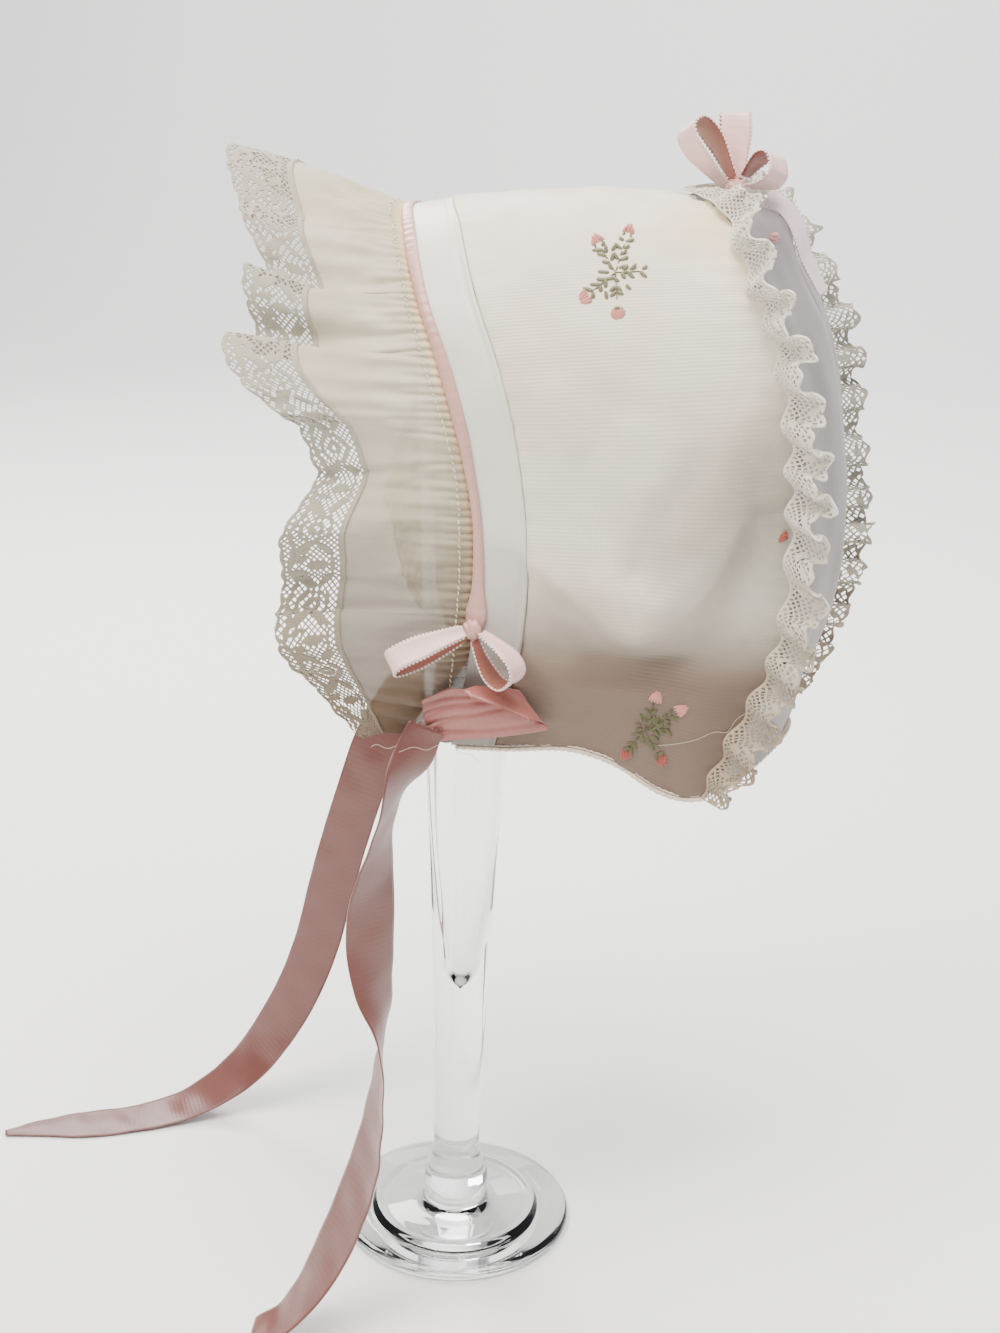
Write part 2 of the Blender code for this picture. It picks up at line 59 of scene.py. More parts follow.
bpy.ops.object.select_all(action="DESELECT")
bpy.ops.mesh.primitive_plane_add(size=SHEET_SIZE, location=(0, 0, -SHEET_BELOW))
paper = bpy.context.object
paper.name = "paper_sweep"
bpy.ops.object.transform_apply(location=True, rotation=False, scale=False)
bpy.ops.object.mode_set(mode="EDIT")
bpy.ops.mesh.select_all(action="DESELECT")
bpy.ops.object.mode_set(mode="OBJECT")
for edge in paper.data.edges:
    edge.select = all(paper.data.vertices[i].co.y > 0 for i in edge.vertices)
bpy.ops.object.mode_set(mode="EDIT")
bpy.ops.mesh.select_mode(type="EDGE")
bpy.ops.mesh.extrude_region_move(TRANSFORM_OT_translate={"value": (0, 0, SHEET_RISE)})
bpy.ops.object.mode_set(mode="OBJECT")
sweep = paper.modifiers.new("Sweep", "BEVEL")
sweep.width = SHEET_SWEEP
sweep.segments = SWEEP_STEPS
sweep.limit_method = "ANGLE"
bpy.ops.object.modifier_apply(modifier="Sweep")
bpy.ops.object.shade_smooth()


def add_node(tree, kind, *inputs, **settings):
    """A shader node with its settings, and its first inputs linked or set in order."""
    node = tree.nodes.new(kind)
    for key, value in settings.items():
        setattr(node, key, value)
    for socket, value in zip(node.inputs, inputs):
        if value is None:
            continue
        if isinstance(value, bpy.types.NodeSocket):
            tree.links.new(value, socket)
        else:
            socket.default_value = value
    return node


def plain(name, colour, roughness):
    """A material with one Principled shader, returned with its node tree and that shader."""
    made = bpy.data.materials.new(name)
    made.use_nodes = True
    shader = made.node_tree.nodes["Principled BSDF"]
    shader.inputs["Base Color"].default_value = (*colour, 1)
    shader.inputs["Roughness"].default_value = roughness
    return made, made.node_tree, shader


paper.data.materials.append(plain("pale paper", (0.93, 0.93, 0.92), 0.9)[0])

# The lights: large soft panels, as beside a window. The strongest on the bonnet hangs over its
# crown, so that folds and gathers show their shade, and the one behind lights the paper alone.
ROOM_TINT, ROOM_GLOW = (0.93, 0.95, 1.0, 1), 0.42

for name, place, aim, size, power, tint in (
    ("window", (-0.55, -0.70, 1.15), (0.02, 0, 0.24), 0.6, 15.0, (1.0, 0.955, 0.87)),
    ("ceiling", (0.05, -0.30, 1.35), (0.02, 0, 0.24), 0.7, 27.0, (1.0, 0.965, 0.90)),
    ("fill", (1.15, -0.55, 0.70), (0.02, 0, 0.24), 1.0, 2.0, (0.90, 0.94, 1.0)),
    ("rim", (-0.55, 0.75, 0.95), (-0.10, 0, 0.12), 0.4, 14.0, (1.0, 0.99, 0.97)),
    ("behind", (0.0, 1.0, 2.1), (0.0, 2.5, 0.9), 2.0, 75.0, (1.0, 1.0, 1.0)),
):
    bpy.ops.object.light_add(type="AREA", location=place)
    lamp = bpy.context.object
    lamp.name = name
    lamp.data.size = size
    lamp.data.energy = power
    lamp.data.color = tint
    lamp.rotation_euler = (Vector(aim) - Vector(place)).to_track_quat("-Z", "Y").to_euler()
world = bpy.data.worlds.new("soft room")
world.use_nodes = True
world.node_tree.nodes["Background"].inputs["Color"].default_value = ROOM_TINT
world.node_tree.nodes["Background"].inputs["Strength"].default_value = ROOM_GLOW
bpy.context.scene.world = world

# The camera: held half a metre away and a little above the crown, turned to the left. Its place
# and angles were fitted to the foot, the stem and the seams as the photograph shows them.
CAMERA_AT = (97.9, -500.1, 368.7)
HEADING, DOWN, ROLL = math.radians(10), math.radians(19.09), math.radians(1.74)
FOCAL_PIXELS, IMAGE_HEIGHT = 1800, 1333
NEAREST_SEEN = 0.02

level = Vector((math.cos(HEADING), math.sin(HEADING), 0))
ahead = Vector((-level.y * math.cos(DOWN), level.x * math.cos(DOWN), -math.sin(DOWN)))
aloft = level.cross(ahead)
right = level * math.cos(ROLL) + aloft * math.sin(ROLL)
upward = aloft * math.cos(ROLL) - level * math.sin(ROLL)
bpy.ops.object.camera_add(location=[MM * c for c in CAMERA_AT])
camera = bpy.context.object
camera.rotation_euler = Matrix((right, upward, -ahead)).transposed().to_euler()
camera.data.lens = camera.data.sensor_width * FOCAL_PIXELS / IMAGE_HEIGHT
camera.data.clip_start = NEAREST_SEEN
bpy.context.scene.camera = camera

# The stand: a pressed and turned bud vase of clear glass. Its foot has a raised ring, a collar
# joins the foot to the stem, and the stem flares to a trumpet whose mouth carries the crown.
FOOT = ((36.4, 0.0), (37.3, 0.5), (37.5, 1.4), (37.0, 2.5), (35.4, 3.1))
FOOT_TOP = ((35.4, 3.1), (30.0, 3.5), (27.4, 3.9), (26.4, 4.9), (25.5, 5.4), (24.6, 4.9), (23.6, 4.3))
COLLAR = ((23.6, 4.3), (17.0, 5.2), (12.4, 6.2), (10.4, 7.6), (10.0, 9.2), (10.6, 11.6))
STEM = (
    (10.6, 11.6), (10.5, 15.0), (9.6, 18.4), (8.4, 21.2), (7.7, 25.0), (7.6, 34.0), (8.0, 55.0),
    (9.1, 93.0), (10.2, 125.0), (12.1, 162.0), (14.2, 215.0), (16.0, 270.0),
)
BORE = ((14.2, 270.0), (12.3, 215.0), (10.2, 162.0), (7.9, 125.0), (5.0, 101.0), (2.6, 89.0), (0.0, 85.0))
VASE_SIDES = 96


def curve_rows(rows, where):
    """A smooth curve through a table whose first column is the station."""
    table = np.array(rows, float)
    key, value = table[:, 0], table[:, 1:]
    slope = np.gradient(value, key, axis=0)
    x = np.clip(np.atleast_1d(np.asarray(where, float)), key[0], key[-1])
    i = np.clip(np.searchsorted(key, x, side="right") - 1, 0, len(key) - 2)
    h = (key[i + 1] - key[i])[:, None]
    s = ((x - key[i]) / h[:, 0])[:, None]
    return (
        (2 * s**3 - 3 * s**2 + 1) * value[i]
        + (s**3 - 2 * s**2 + s) * h * slope[i]
        + (3 * s**2 - 2 * s**3) * value[i + 1]
        + (s**3 - s**2) * h * slope[i + 1]
    )


def length_table(points):
    """Length along a line from its start to each of its points."""
    return np.concatenate([[0], np.cumsum(np.linalg.norm(np.diff(points, axis=0), axis=1))])


def read_off(where, run, rows):
    """The rows at the given places along their run."""
    return np.column_stack([np.interp(where, run, column) for column in rows.T])


def through(points, count):
    """Points spaced evenly along a smooth line through the given ones."""
    points = np.array(points, float)
    station = length_table(points)
    fine = curve_rows(np.column_stack([station, points]), np.linspace(0, station[-1], 8 * count))
    run = length_table(fine)
    return read_off(np.linspace(0, run[-1], count), run, fine)


def new_object(name, data):
    piece = bpy.data.objects.new(name, data)
    bpy.context.collection.objects.link(piece)
    return piece


def select_only(piece):
    bpy.ops.object.select_all(action="DESELECT")
    piece.select_set(True)
    bpy.context.view_layer.objects.active = piece


def finish_piece(piece, slot, *nodes, material=None):
    """The piece gets its material, rides on the one body, and stands for its CAD nodes. slot is not used."""
    if material:
        piece.data.materials.append(material)
    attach(piece, "root")
    if nodes:
        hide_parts(*nodes)


rim_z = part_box("glass_stand")[1][2] / MM
rim = ((16.0, 270.0), (17.0, rim_z - 18), (17.6, rim_z - 3), (17.4, rim_z - 0.5), (16.6, rim_z))
lip = ((16.6, rim_z), (15.9, rim_z - 0.6), (15.6, rim_z - 4), (14.9, rim_z - 20), (14.2, 270.0))
stretches = ((FOOT, 12), (FOOT_TOP, 24), (COLLAR, 22), (STEM, 70), (rim, 16), (lip, 16), (BORE, 60))
profile = np.concatenate([[[0.0, 0.0]]] + [through(stretch, count) for stretch, count in stretches])
profile = profile[np.concatenate([[True], np.linalg.norm(np.diff(profile, axis=0), axis=1) > 1e-6])]
vase_mesh = bpy.data.meshes.new("glass_vase")
chain = [(i, i + 1) for i in range(len(profile) - 1)]
vase_mesh.from_pydata([(MM * r, 0, MM * z) for r, z in profile], chain, [])
vase = new_object("glass_vase", vase_mesh)
select_only(vase)
bpy.ops.object.mode_set(mode="EDIT")
bpy.ops.mesh.select_all(action="SELECT")
bpy.ops.mesh.spin(steps=VASE_SIDES, angle=math.tau, center=(0, 0, 0), axis=(0, 0, 1))
bpy.ops.mesh.select_all(action="SELECT")
bpy.ops.mesh.remove_doubles(threshold=1e-6)
bpy.ops.mesh.normals_make_consistent(inside=False)
bpy.ops.object.mode_set(mode="OBJECT")
bpy.ops.object.shade_smooth()
glass, _, shader = plain("clear glass", (0.96, 0.985, 0.97), 0.02)
shader.inputs["Transmission Weight"].default_value = 1.0
shader.inputs["IOR"].default_value = 1.5
finish_piece(vase, "glass", "glass_stand", material=glass)

# The crown: one length of cream ribbed silk laid from ear to ear over the head, seamed to the
# front band and to the back panel. Its creases are from years of folding in a drawer.
FRONT_SEAM = (  # a, x, y, z
    (0.00, -20.0, 0.0, 325.0), (0.14, -14.5, 24.0, 318.5), (0.28, -7.5, 38.5, 304.5),
    (0.42, 1.5, 45.5, 285.0), (0.60, 9.5, 46.0, 252.0), (0.80, 9.5, 44.5, 217.0),
    (1.00, 3.8, 41.5, 183.5),
)
BACK_SEAM = (  # a, x, y, z
    (0.00, 58.0, 0.0, 331.0), (0.12, 69.0, 17.0, 328.0), (0.28, 78.5, 33.0, 313.5),
    (0.42, 88.0, 40.5, 294.0), (0.60, 94.0, 41.0, 256.0), (0.80, 91.5, 39.0, 214.0),
    (0.90, 83.0, 37.5, 193.0), (1.00, 76.0, 36.5, 173.5),
)
BACK_SKEW = ((0.0, 0.0), (0.3, 6.0), (0.6, 8.0), (0.8, 9.5), (1.0, 13.0))  # v, far side set back
CROWN_BULGE = ((0.0, 3.4), (0.3, 4.2), (0.6, 5.0), (0.85, 3.0), (1.0, 0.8))  # a, bulge
HEM_RISE = ((0.0, 0.0), (0.2, 2.6), (0.5, 6.6), (0.65, 4.6), (0.8, -0.6), (0.9, -1.8), (1.0, 0.0))
HEM_RISE_FROM = 0.72
BAND_SHARE = 0.17
CREASES = (  # from x, z to x, z on the near side, lift out of the cloth, half width
    (30.0, 214.0, 93.0, 216.0, -1.2, 2.8), (28.0, 206.0, 70.0, 205.0, 0.6, 3.5),
    (88.0, 258.0, 60.0, 230.0, 1.2, 4.0), (60.0, 230.0, 44.0, 236.0, 0.7, 4.0),
    (38.0, 266.0, 52.0, 240.0, -1.2, 5.0), (68.0, 268.0, 54.0, 240.0, -1.0, 4.5),
    (84.0, 320.0, 79.0, 288.0, -0.9, 3.5), (30.0, 290.0, 62.0, 279.0, -0.5, 5.0),
    (80.0, 236.0, 86.0, 218.0, -0.7, 3.0),
)
FOLD_EDGE = (  # x, z along the near side's one deep fold, which stands out above this line
    (24.0, 242.0), (38.0, 232.0), (53.8, 222.0), (66.0, 228.5), (75.3, 241.0), (81.0, 258.0),
)
FOLD_LIFT, FOLD_TOP, FOLD_UNDER = 5.0, 14.0, 3.2  # how far it stands out, and how fast it falls away
FOLD_HOLLOW = (0.45, 9, 6)  # depth of the hollow under it as a share of its lift, place and half width
FOLD_FADE = ((12, 16), (100, 22))  # x where it starts towards the band and the seam, and over how much


def horseshoe(rows, v):
    """Points of a seam, from the near hem (v = -1) over the head to the far hem (v = 1)."""
    near = [(-a, x, -y, z) for a, x, y, z in reversed(rows[1:])]
    return curve_rows(near + list(rows), v)


def unit(vectors):
    return vectors / np.linalg.norm(vectors, axis=-1, keepdims=True)


def out_of_head(v):
    """Unit vectors that point straight out of the crown at v, square to X."""
    lo, hi = np.clip(v - 0.01, -1, 1), np.clip(v + 0.01, -1, 1)
    along = horseshoe(FRONT_SEAM, hi) - horseshoe(FRONT_SEAM, lo)
    return unit(np.stack([np.zeros(len(along)), -along[:, 2], along[:, 1]], 1))


def back_seam(v):
    points = horseshoe(BACK_SEAM, v)
    points[:, 0] += curve_rows(BACK_SKEW, np.clip(v, 0, 1))[:, 0]
    return points


def front_seam(v):
    return horseshoe(FRONT_SEAM, v)


def run_along(seam, v):
    """Length along a seam, in mm, from its near end to v."""
    fine = np.linspace(-1, 1, 801)
    return np.interp(v, fine, length_table(seam(fine)))


def crease_lift(points):
    """Lift of the silk at the creases and at the one deep fold, which is weaker on the far side."""
    total = np.zeros(len(points))
    near = np.clip(-points[:, 1] / 12, 0, 1)
    p = points[:, [0, 2]]
    for x0, z0, x1, z1, lift, half_width in CREASES:
        start, run = np.array([x0, z0]), np.array([x1 - x0, z1 - z0])
        share = np.clip((p - start) @ run / (run @ run), 0, 1)
        away = np.linalg.norm(p - start - share[:, None] * run, axis=1)
        total += lift * np.exp(-((away / half_width) ** 2))
    edge = through(FOLD_EDGE, 60)
    away = np.linalg.norm(p[:, None] - edge[None], axis=2)
    nearest = np.argmin(away, axis=1)
    away = away[np.arange(len(p)), nearest]
    above = p[:, 1] > np.interp(p[:, 0], edge[:, 0], edge[:, 1])
    fold = np.where(above, np.exp(-away / FOLD_TOP), np.exp(-((away / FOLD_UNDER) ** 2)))
    depth, place, half_width = FOLD_HOLLOW
    fold -= np.where(above, 0, depth * np.exp(-(((away - place) / half_width) ** 2)))
    (start, rise), (end, fall) = FOLD_FADE
    reach = np.clip((p[:, 0] - start) / rise, 0, 1) * np.clip((end - p[:, 0]) / fall, 0, 1)
    return total * (0.35 + 0.65 * near) + FOLD_LIFT * fold * reach * near


def paired(first, second):
    """Two numbers or arrays as arrays of one length."""
    return np.broadcast_arrays(*(np.atleast_1d(np.asarray(given, float)) for given in (first, second)))


def crown(u, v, lift=0.0):
    """The crown's middle surface, u from the front seam (0) to the back seam (1), in mm."""
    u, v = paired(u, v)
    a = np.abs(v)
    front, back = front_seam(v), back_seam(v)
    points = front + (back - front) * u[:, None]
    fade = np.clip((a - HEM_RISE_FROM) / (1 - HEM_RISE_FROM), 0, 1) ** 2
    points[:, 2] += curve_rows(HEM_RISE, u)[:, 0] * fade
    swell = curve_rows(CROWN_BULGE, a)[:, 0] * 4 * u * (1 - u)
    swell += crease_lift(points) * np.sin(math.pi * np.clip(u, 0, 1)) * np.clip(a * 4 - 0.6, 0, 1)
    return points + out_of_head(v) * (swell + lift)[:, None]


def rumple(across, along, size, seed):
    """Soft uneven waves of about the given size, in mm, from a few crossed sines."""
    dice = np.random.default_rng(seed)
    total = np.zeros(len(across))
    for _ in range(7):
        turn, phase, stretch = dice.uniform(0, math.tau, 3)
        k = math.tau / (size * dice.uniform(0.7, 1.6))
        total += np.sin(k * (across * math.cos(turn) + along * math.sin(turn)) + phase + math.sin(stretch))
    return total / 7


def pucker(run, period, sway, drift):
    """Waves along a run in mm, whose period wanders."""
    return np.sin(math.tau * run / period + sway * np.sin(run / drift))


def silk_detail(u, v):
    """Lift of the silk's small waves: puckers at the seams and a faint rumple all over."""
    at_front, at_back = run_along(front_seam, v), run_along(back_seam, v)
    a = np.abs(v)
    lift = 0.4 * pucker(at_back, 6.1, 2.6, 11) * np.exp(-(1 - u) * 16)  # eased in at the back seam
    lift += 0.25 * pucker(at_back, 3.7, 2, 17) * np.exp(-(1 - u) * 30)
    lift += 0.16 * pucker(at_front, 7.3, 2.4, 13) * np.exp(-(u - BAND_SHARE) * 22)  # under the band
    lift += 0.22 * np.sin(math.tau * u * 11 + 4 * np.sin(5 * u)) * np.exp(-(1 - a) * 30)
    return lift + 0.8 * rumple(85 * u, at_front, 26, 5) + 0.2 * rumple(85 * u, at_front, 10, 8)


def cut_cloth(name, cells, cut, place, wall):
    """Cloth as a grid laid on the surface that place() gives, in mm, with its cut size as its UV map.

    cells and cut give the number of cells and the length, first along v and then across."""
    bpy.ops.object.select_all(action="DESELECT")
    bpy.ops.mesh.primitive_grid_add(x_subdivisions=cells[0], y_subdivisions=cells[1], size=1)
    piece = bpy.context.object
    piece.name = piece.data.name = name
    flat = np.empty(3 * len(piece.data.vertices))
    piece.data.vertices.foreach_get("co", flat)
    share = flat.reshape(-1, 3)[:, :2] + 0.5
    piece.data.vertices.foreach_set("co", (MM * place(share[:, 0], share[:, 1])).ravel())
    corner = np.empty(len(piece.data.loops), int)
    piece.data.loops.foreach_get("vertex_index", corner)
    piece.data.uv_layers[0].data.foreach_set("uv", (MM * share[corner] * cut).ravel())
    piece.data.update()
    give_wall(piece, wall)
    return piece


def give_wall(piece, wall):
    """Gives cloth its thickness, half of it on each side of its surface."""
    select_only(piece)
    bpy.ops.object.shade_smooth()
    thick = piece.modifiers.new("Wall", "SOLIDIFY")
    thick.thickness = wall * MM
    thick.offset = 0
    bpy.ops.object.modifier_apply(modifier="Wall")


def laid_over(tree, under, share, tone):
    """A tone mixed over the colour that is there, by a share that another node gives."""
    mix = add_node(tree, "ShaderNodeMix", share, data_type="RGBA")
    mix.inputs["B"].default_value = (*tone, 1)
    tree.links.new(under, mix.inputs["A"])
    return mix.outputs["Result"]


BAND_PERIOD = math.tau / 20  # the wave texture's own period at scale 1
FIBRES, DYE, CLOUDS = 900.0, 45.0, 24.0  # noise scales of loose fibres, uneven dye and broad patches
DYE_WEAK, DYE_STRONG = 0.86, 1.05  # the dye's darkest and lightest, as shares of the colour
RIB_SHADE_SHARE, RIB_SHADE_TONE = 0.07, 0.4  # painted shade between the ribs: how much of it shows, and how dark its tone is
PATCH_MOST, EDGE_MOST, STAIN_AND_SHADE_MOST = 0.75, 0.85, 0.8  # the most of each tone that is laid over the dye
STAIN_AND_SHADE_WANDER = 0.02  # how far the dye's noise moves the edge of a stain or of a patch of painted shade, in metres
THREAD_RELIEF, SHEEN_ROUGHNESS = 0.0003, 0.4


def woven(name, colour, weave, shade=None, stains_and_shade=(), alpha=1.0, patch=None, edge=None):
    """Cloth: ribs and weft threads as bump, faint uneven dye, shade painted between its ribs, and optional
    painted shade, stains and patches.

    weave is its roughness, the periods in mm of its ribs along the cut and its wefts across, the
    strength of their bump, and its sheen. shade is painted shade: a darker colour that the cloth drifts
    towards lower down, with the heights in mm between which it does. The list after it holds stains
    and patches of painted shade, each with its tone, place and reach. patch is a tone for broad cloudy
    patches. edge is a tone for the first mm of the cut's width, with its reach."""
    roughness, rib, weft, bump, sheen = weave
    made, tree, shader = plain(name, colour, roughness)
    at = add_node(tree, "ShaderNodeTexCoord").outputs
    uneven = add_node(tree, "ShaderNodeTexNoise", at["UV"], None, FIBRES, 3.0)
    threads = []
    for way, period, bend in (("X", rib, 1.2), ("Y", weft, 1.5)):
        scale = BAND_PERIOD / (period * MM)
        waves = add_node(tree, "ShaderNodeTexWave", at["UV"], scale, bend, 2.0, 1.0, bands_direction=way)
        threads.append(waves.outputs["Fac"])
    ribs, wefts = threads
    both = add_node(tree, "ShaderNodeMath", ribs, wefts, operation="ADD")
    grain = add_node(tree, "ShaderNodeMath", both.outputs[0], uneven.outputs["Fac"], operation="ADD")
    relief = add_node(tree, "ShaderNodeBump", bump, THREAD_RELIEF)
    tree.links.new(grain.outputs[0], relief.inputs["Height"])
    tree.links.new(relief.outputs["Normal"], shader.inputs["Normal"])
    dye = add_node(tree, "ShaderNodeTexNoise", at["Object"], None, DYE, 4.0, 0.6).outputs["Fac"]
    dyed = add_node(tree, "ShaderNodeMix", dye, data_type="RGBA")
    dyed.inputs["A"].default_value = (*(DYE_WEAK * c for c in colour), 1)
    dyed.inputs["B"].default_value = (*(min(1.0, DYE_STRONG * c) for c in colour), 1)
    # Painted shade in the grooves between the ribs.
    lines = add_node(tree, "ShaderNodeMapRange", ribs, 0.0, 0.35, RIB_SHADE_SHARE, 0.0)
    last = laid_over(tree, dyed.outputs["Result"], lines.outputs[0], [RIB_SHADE_TONE * c for c in colour])
    if patch:
        cloud = add_node(tree, "ShaderNodeTexNoise", at["Object"], None, CLOUDS, 2.0, 0.5)
        spread = add_node(tree, "ShaderNodeMapRange", cloud.outputs["Fac"], 0.42, 0.62, 0.0, PATCH_MOST)
        last = laid_over(tree, last, spread.outputs[0], patch)
    if edge:
        tone, reach = edge
        across = add_node(tree, "ShaderNodeSeparateXYZ", at["UV"]).outputs["Y"]
        fade = add_node(tree, "ShaderNodeMapRange", across, reach * MM, reach * 0.7 * MM, 0.0, EDGE_MOST)
        last = laid_over(tree, last, fade.outputs[0], tone)
    # Painted shade: darker towards the bottom of the cloth.
    if shade:
        tone, low, high = shade
        height = add_node(tree, "ShaderNodeSeparateXYZ", at["Object"]).outputs["Z"]
        fall = add_node(tree, "ShaderNodeMapRange", height, high * MM, low * MM)
        fall.interpolation_type = "SMOOTHSTEP"
        last = laid_over(tree, last, fall.outputs[0], tone)
    # Stains, and patches of painted shade, each fading out from its place.
    for tone, place, reach in stains_and_shade:
        away = add_node(tree, "ShaderNodeVectorMath", at["Object"], operation="DISTANCE")
        away.inputs[1].default_value = [MM * c for c in place]
        away = away.outputs["Value"]
        rough_edge = add_node(tree, "ShaderNodeMath", dye, STAIN_AND_SHADE_WANDER, operation="MULTIPLY").outputs[0]
        spread = add_node(tree, "ShaderNodeMath", away, rough_edge, operation="ADD").outputs[0]
        fade = add_node(tree, "ShaderNodeMapRange", spread, reach * 2 * MM, reach * 0.4 * MM, 0.0, STAIN_AND_SHADE_MOST)
        last = laid_over(tree, last, fade.outputs[0], tone)
    tree.links.new(last, shader.inputs["Base Color"])
    shader.inputs["Sheen Weight"].default_value = sheen
    shader.inputs["Sheen Roughness"].default_value = SHEEN_ROUGHNESS
    shader.inputs["Alpha"].default_value = alpha
    return made


SILK_CREAM = (0.82, 0.77, 0.63)
# Painted shade: the silk's colour darkens towards the bottom, where the crown turns under.
SILK_PAINTED_SHADE = (0.17, 0.11, 0.078)
SILK_BLUSH = (0.76, 0.66, 0.53)
SILK_STAINS_AND_SHADE = (  # tone, place and reach: two yellowed stains by the top bow, then three patches of painted shade, beside the deep fold, under it and by the back seam
    ((0.74, 0.55, 0.28), (66, -20, 327), 16),
    ((0.76, 0.58, 0.30), (78, -26, 312), 13),
    ((0.085, 0.068, 0.06), (86, -58, 248), 25),
    ((0.16, 0.12, 0.10), (33, -62, 225), 15),
    ((0.22, 0.17, 0.14), (94, -50, 272), 15),
)
SILK_WALL = 0.8
SILK_START, SILK_END = BAND_SHARE + 0.0035, 0.9965  # u: just short of the band and of the back seam
RIBBED = (0.5, 0.9, 0.35, 0.26, 0.25)
silk = woven("cream ribbed silk", SILK_CREAM, RIBBED, (SILK_PAINTED_SHADE, 205, 238), SILK_STAINS_AND_SHADE, patch=SILK_BLUSH)


def silk_place(along, across):
    u, v = SILK_START + (SILK_END - SILK_START) * across, 2 * along - 1
    return crown(u, v, silk_detail(u, v))


side_panel = cut_cloth("crown_silk", (330, 96), (330.0, 80.0), silk_place, SILK_WALL)
finish_piece(side_panel, "silk", "crown_panel", material=silk)

# The front band: a smooth straight strip of heavier satin, its edges pressed under and laid over
# the raw edges of the crown and the ruffle.
# Painted shade: the band's colour darkens towards the bottom.
BAND_CREAM, BAND_PAINTED_SHADE = (0.78, 0.77, 0.68), (0.30, 0.26, 0.235)
BAND_WALL = 1.2
SMOOTH = (0.38, 0.5, 0.22, 0.12, 0.2)
band_silk = woven("cream band satin", BAND_CREAM, SMOOTH, (BAND_PAINTED_SHADE, 190, 262))


def band_place(along, across):
    u, v = 0.002 + (BAND_SHARE - 0.002) * across, 2 * along - 1
    inward = 1 - across
    edge = 0.45 * np.exp(-(inward / 0.05) ** 2) - 0.25 * np.exp(-((inward - 0.12) / 0.05) ** 2)
    waves = 0.3 * rumple(15 * across, run_along(front_seam, v), 17, 3)
    return crown(u, v, edge + waves)


band = cut_cloth("front_band_satin", (300, 24), (320.0, 15.0), band_place, BAND_WALL)
finish_piece(band, "band", "front_band", material=band_silk)

# The back panel: a horseshoe of the same silk, eased into the crown's back edge so that it
# stands round like a cup. Its colour is painted much darker and cooler than the crown's, as painted
# shade, and darker still towards the hem.
PANEL_BULGE = (  # a, how far the back panel stands behind its seams
    (0.00, 3.0), (0.05, 7.0), (0.12, 8.5), (0.28, 5.5), (0.42, 5.2), (0.60, 6.0), (0.80, 5.8),
    (0.90, 7.8), (1.00, 11.0),
)
PANEL_HEM_RISE = 7.0
PANEL_SET_BACK = 0.9


def panel(w, a):
    """The back panel: w from the near seam (-1) to the far seam (1), a from top to hem, in mm."""
    w, a = paired(w, a)
    near, far = back_seam(-a), back_seam(a)
    points = near + (far - near) * ((w + 1) / 2)[:, None]
    dome = 1 - w**2
    points[:, 0] += PANEL_SET_BACK + curve_rows(PANEL_BULGE, a)[:, 0] * dome
    points[:, 2] += PANEL_HEM_RISE * np.clip((a - 0.7) / 0.3, 0, 1) ** 2 * dome
    return points


def panel_place(along, across):
    w, a = (2 * along - 1) * 0.99, 0.035 + 0.965 * across**1.1
    points = panel(w, a)
    edge = 1 - np.abs(w)
    lift = 0.5 * np.sin(math.tau * a * 34) * np.exp(-edge * 9)
    lift += 0.7 * np.sin(5.5 * w + 3 * np.sin(4 * a)) * np.clip(edge * 3, 0, 1)
    points[:, 0] += lift + 0.5 * rumple(60 * w, 160 * a, 22, 12)
    return points


# The panel's cream silk is painted dark and cool all over as painted shade, and darker still towards the hem.
BACK_SHADED_CREAM, BACK_PAINTED_SHADE = (0.25, 0.22, 0.225), (0.19, 0.16, 0.145)
DEEP_RIBBED = (0.5, 0.9, 0.35, 0.3, 0.25)
shaded_back_silk = woven("shaded cream silk", BACK_SHADED_CREAM, DEEP_RIBBED, (BACK_PAINTED_SHADE, 185, 285))
back_cup = cut_cloth("back_panel_silk", (120, 150), (80.0, 165.0), panel_place, SILK_WALL)
finish_piece(back_cup, "silk", "back_panel", material=shaded_back_silk)

# The back seam: the edges of the crown and the back panel are turned in over a fine cord, so that
# a thin piping runs round the horseshoe between them.
PIPING_R, PIPING_WALL, PIPING_TURN = 0.95, 0.25, math.radians(350)
piping_v = np.linspace(-0.995, 0.995, 420)


def row_at(share, rows):
    """The number of the row at each share of a table's length."""
    return np.rint(share * (len(rows) - 1)).astype(int)


def piping_place(along, across):
    v = piping_v[row_at(along, piping_v)]
    turn = across * PIPING_TURN
    out, back = out_of_head(v), np.array([1.0, 0.0, 0.0])
    ring = out * np.cos(turn)[:, None] + back * np.sin(turn)[:, None]
    return back_seam(v) + back * 0.4 + ring * (PIPING_R + 0.06 * np.sin(along * 900))[:, None]


piping = cut_cloth("back_seam_piping", (len(piping_v) - 1, 12), (330.0, 6.0), piping_place, PIPING_WALL)
# The piping takes the back panel's silk with its painted shade.
finish_piece(piping, "silk", material=shaded_back_silk)

# The ruffle round the face: a strip of sheer organza, nearly half as long again as the seam, drawn
# up on a thread and whipped to the band. It flares into deep soft folds that lap over each other.
RUFFLE_HEAD = (  # a, x, y, z
    (0.00, -52.0, 0.0, 335.0), (0.14, -41.5, 27.0, 321.0), (0.28, -35.0, 46.0, 304.0),
    (0.42, -29.5, 57.0, 285.5), (0.60, -23.0, 58.0, 254.0), (0.80, -23.0, 57.0, 219.0),
    (0.92, -19.0, 53.0, 199.5), (1.00, -14.0, 47.0, 187.5),
)
LACE_EDGE = (  # a, x, y, z
    (0.00, -71.0, 0.0, 338.0), (0.14, -58.0, 28.0, 324.5), (0.28, -51.0, 49.0, 309.0),
    (0.42, -45.5, 61.5, 286.5), (0.60, -39.5, 61.5, 252.5), (0.80, -39.0, 60.0, 217.5),
    (0.92, -30.0, 55.5, 197.0), (1.00, -20.0, 49.0, 186.0),
)
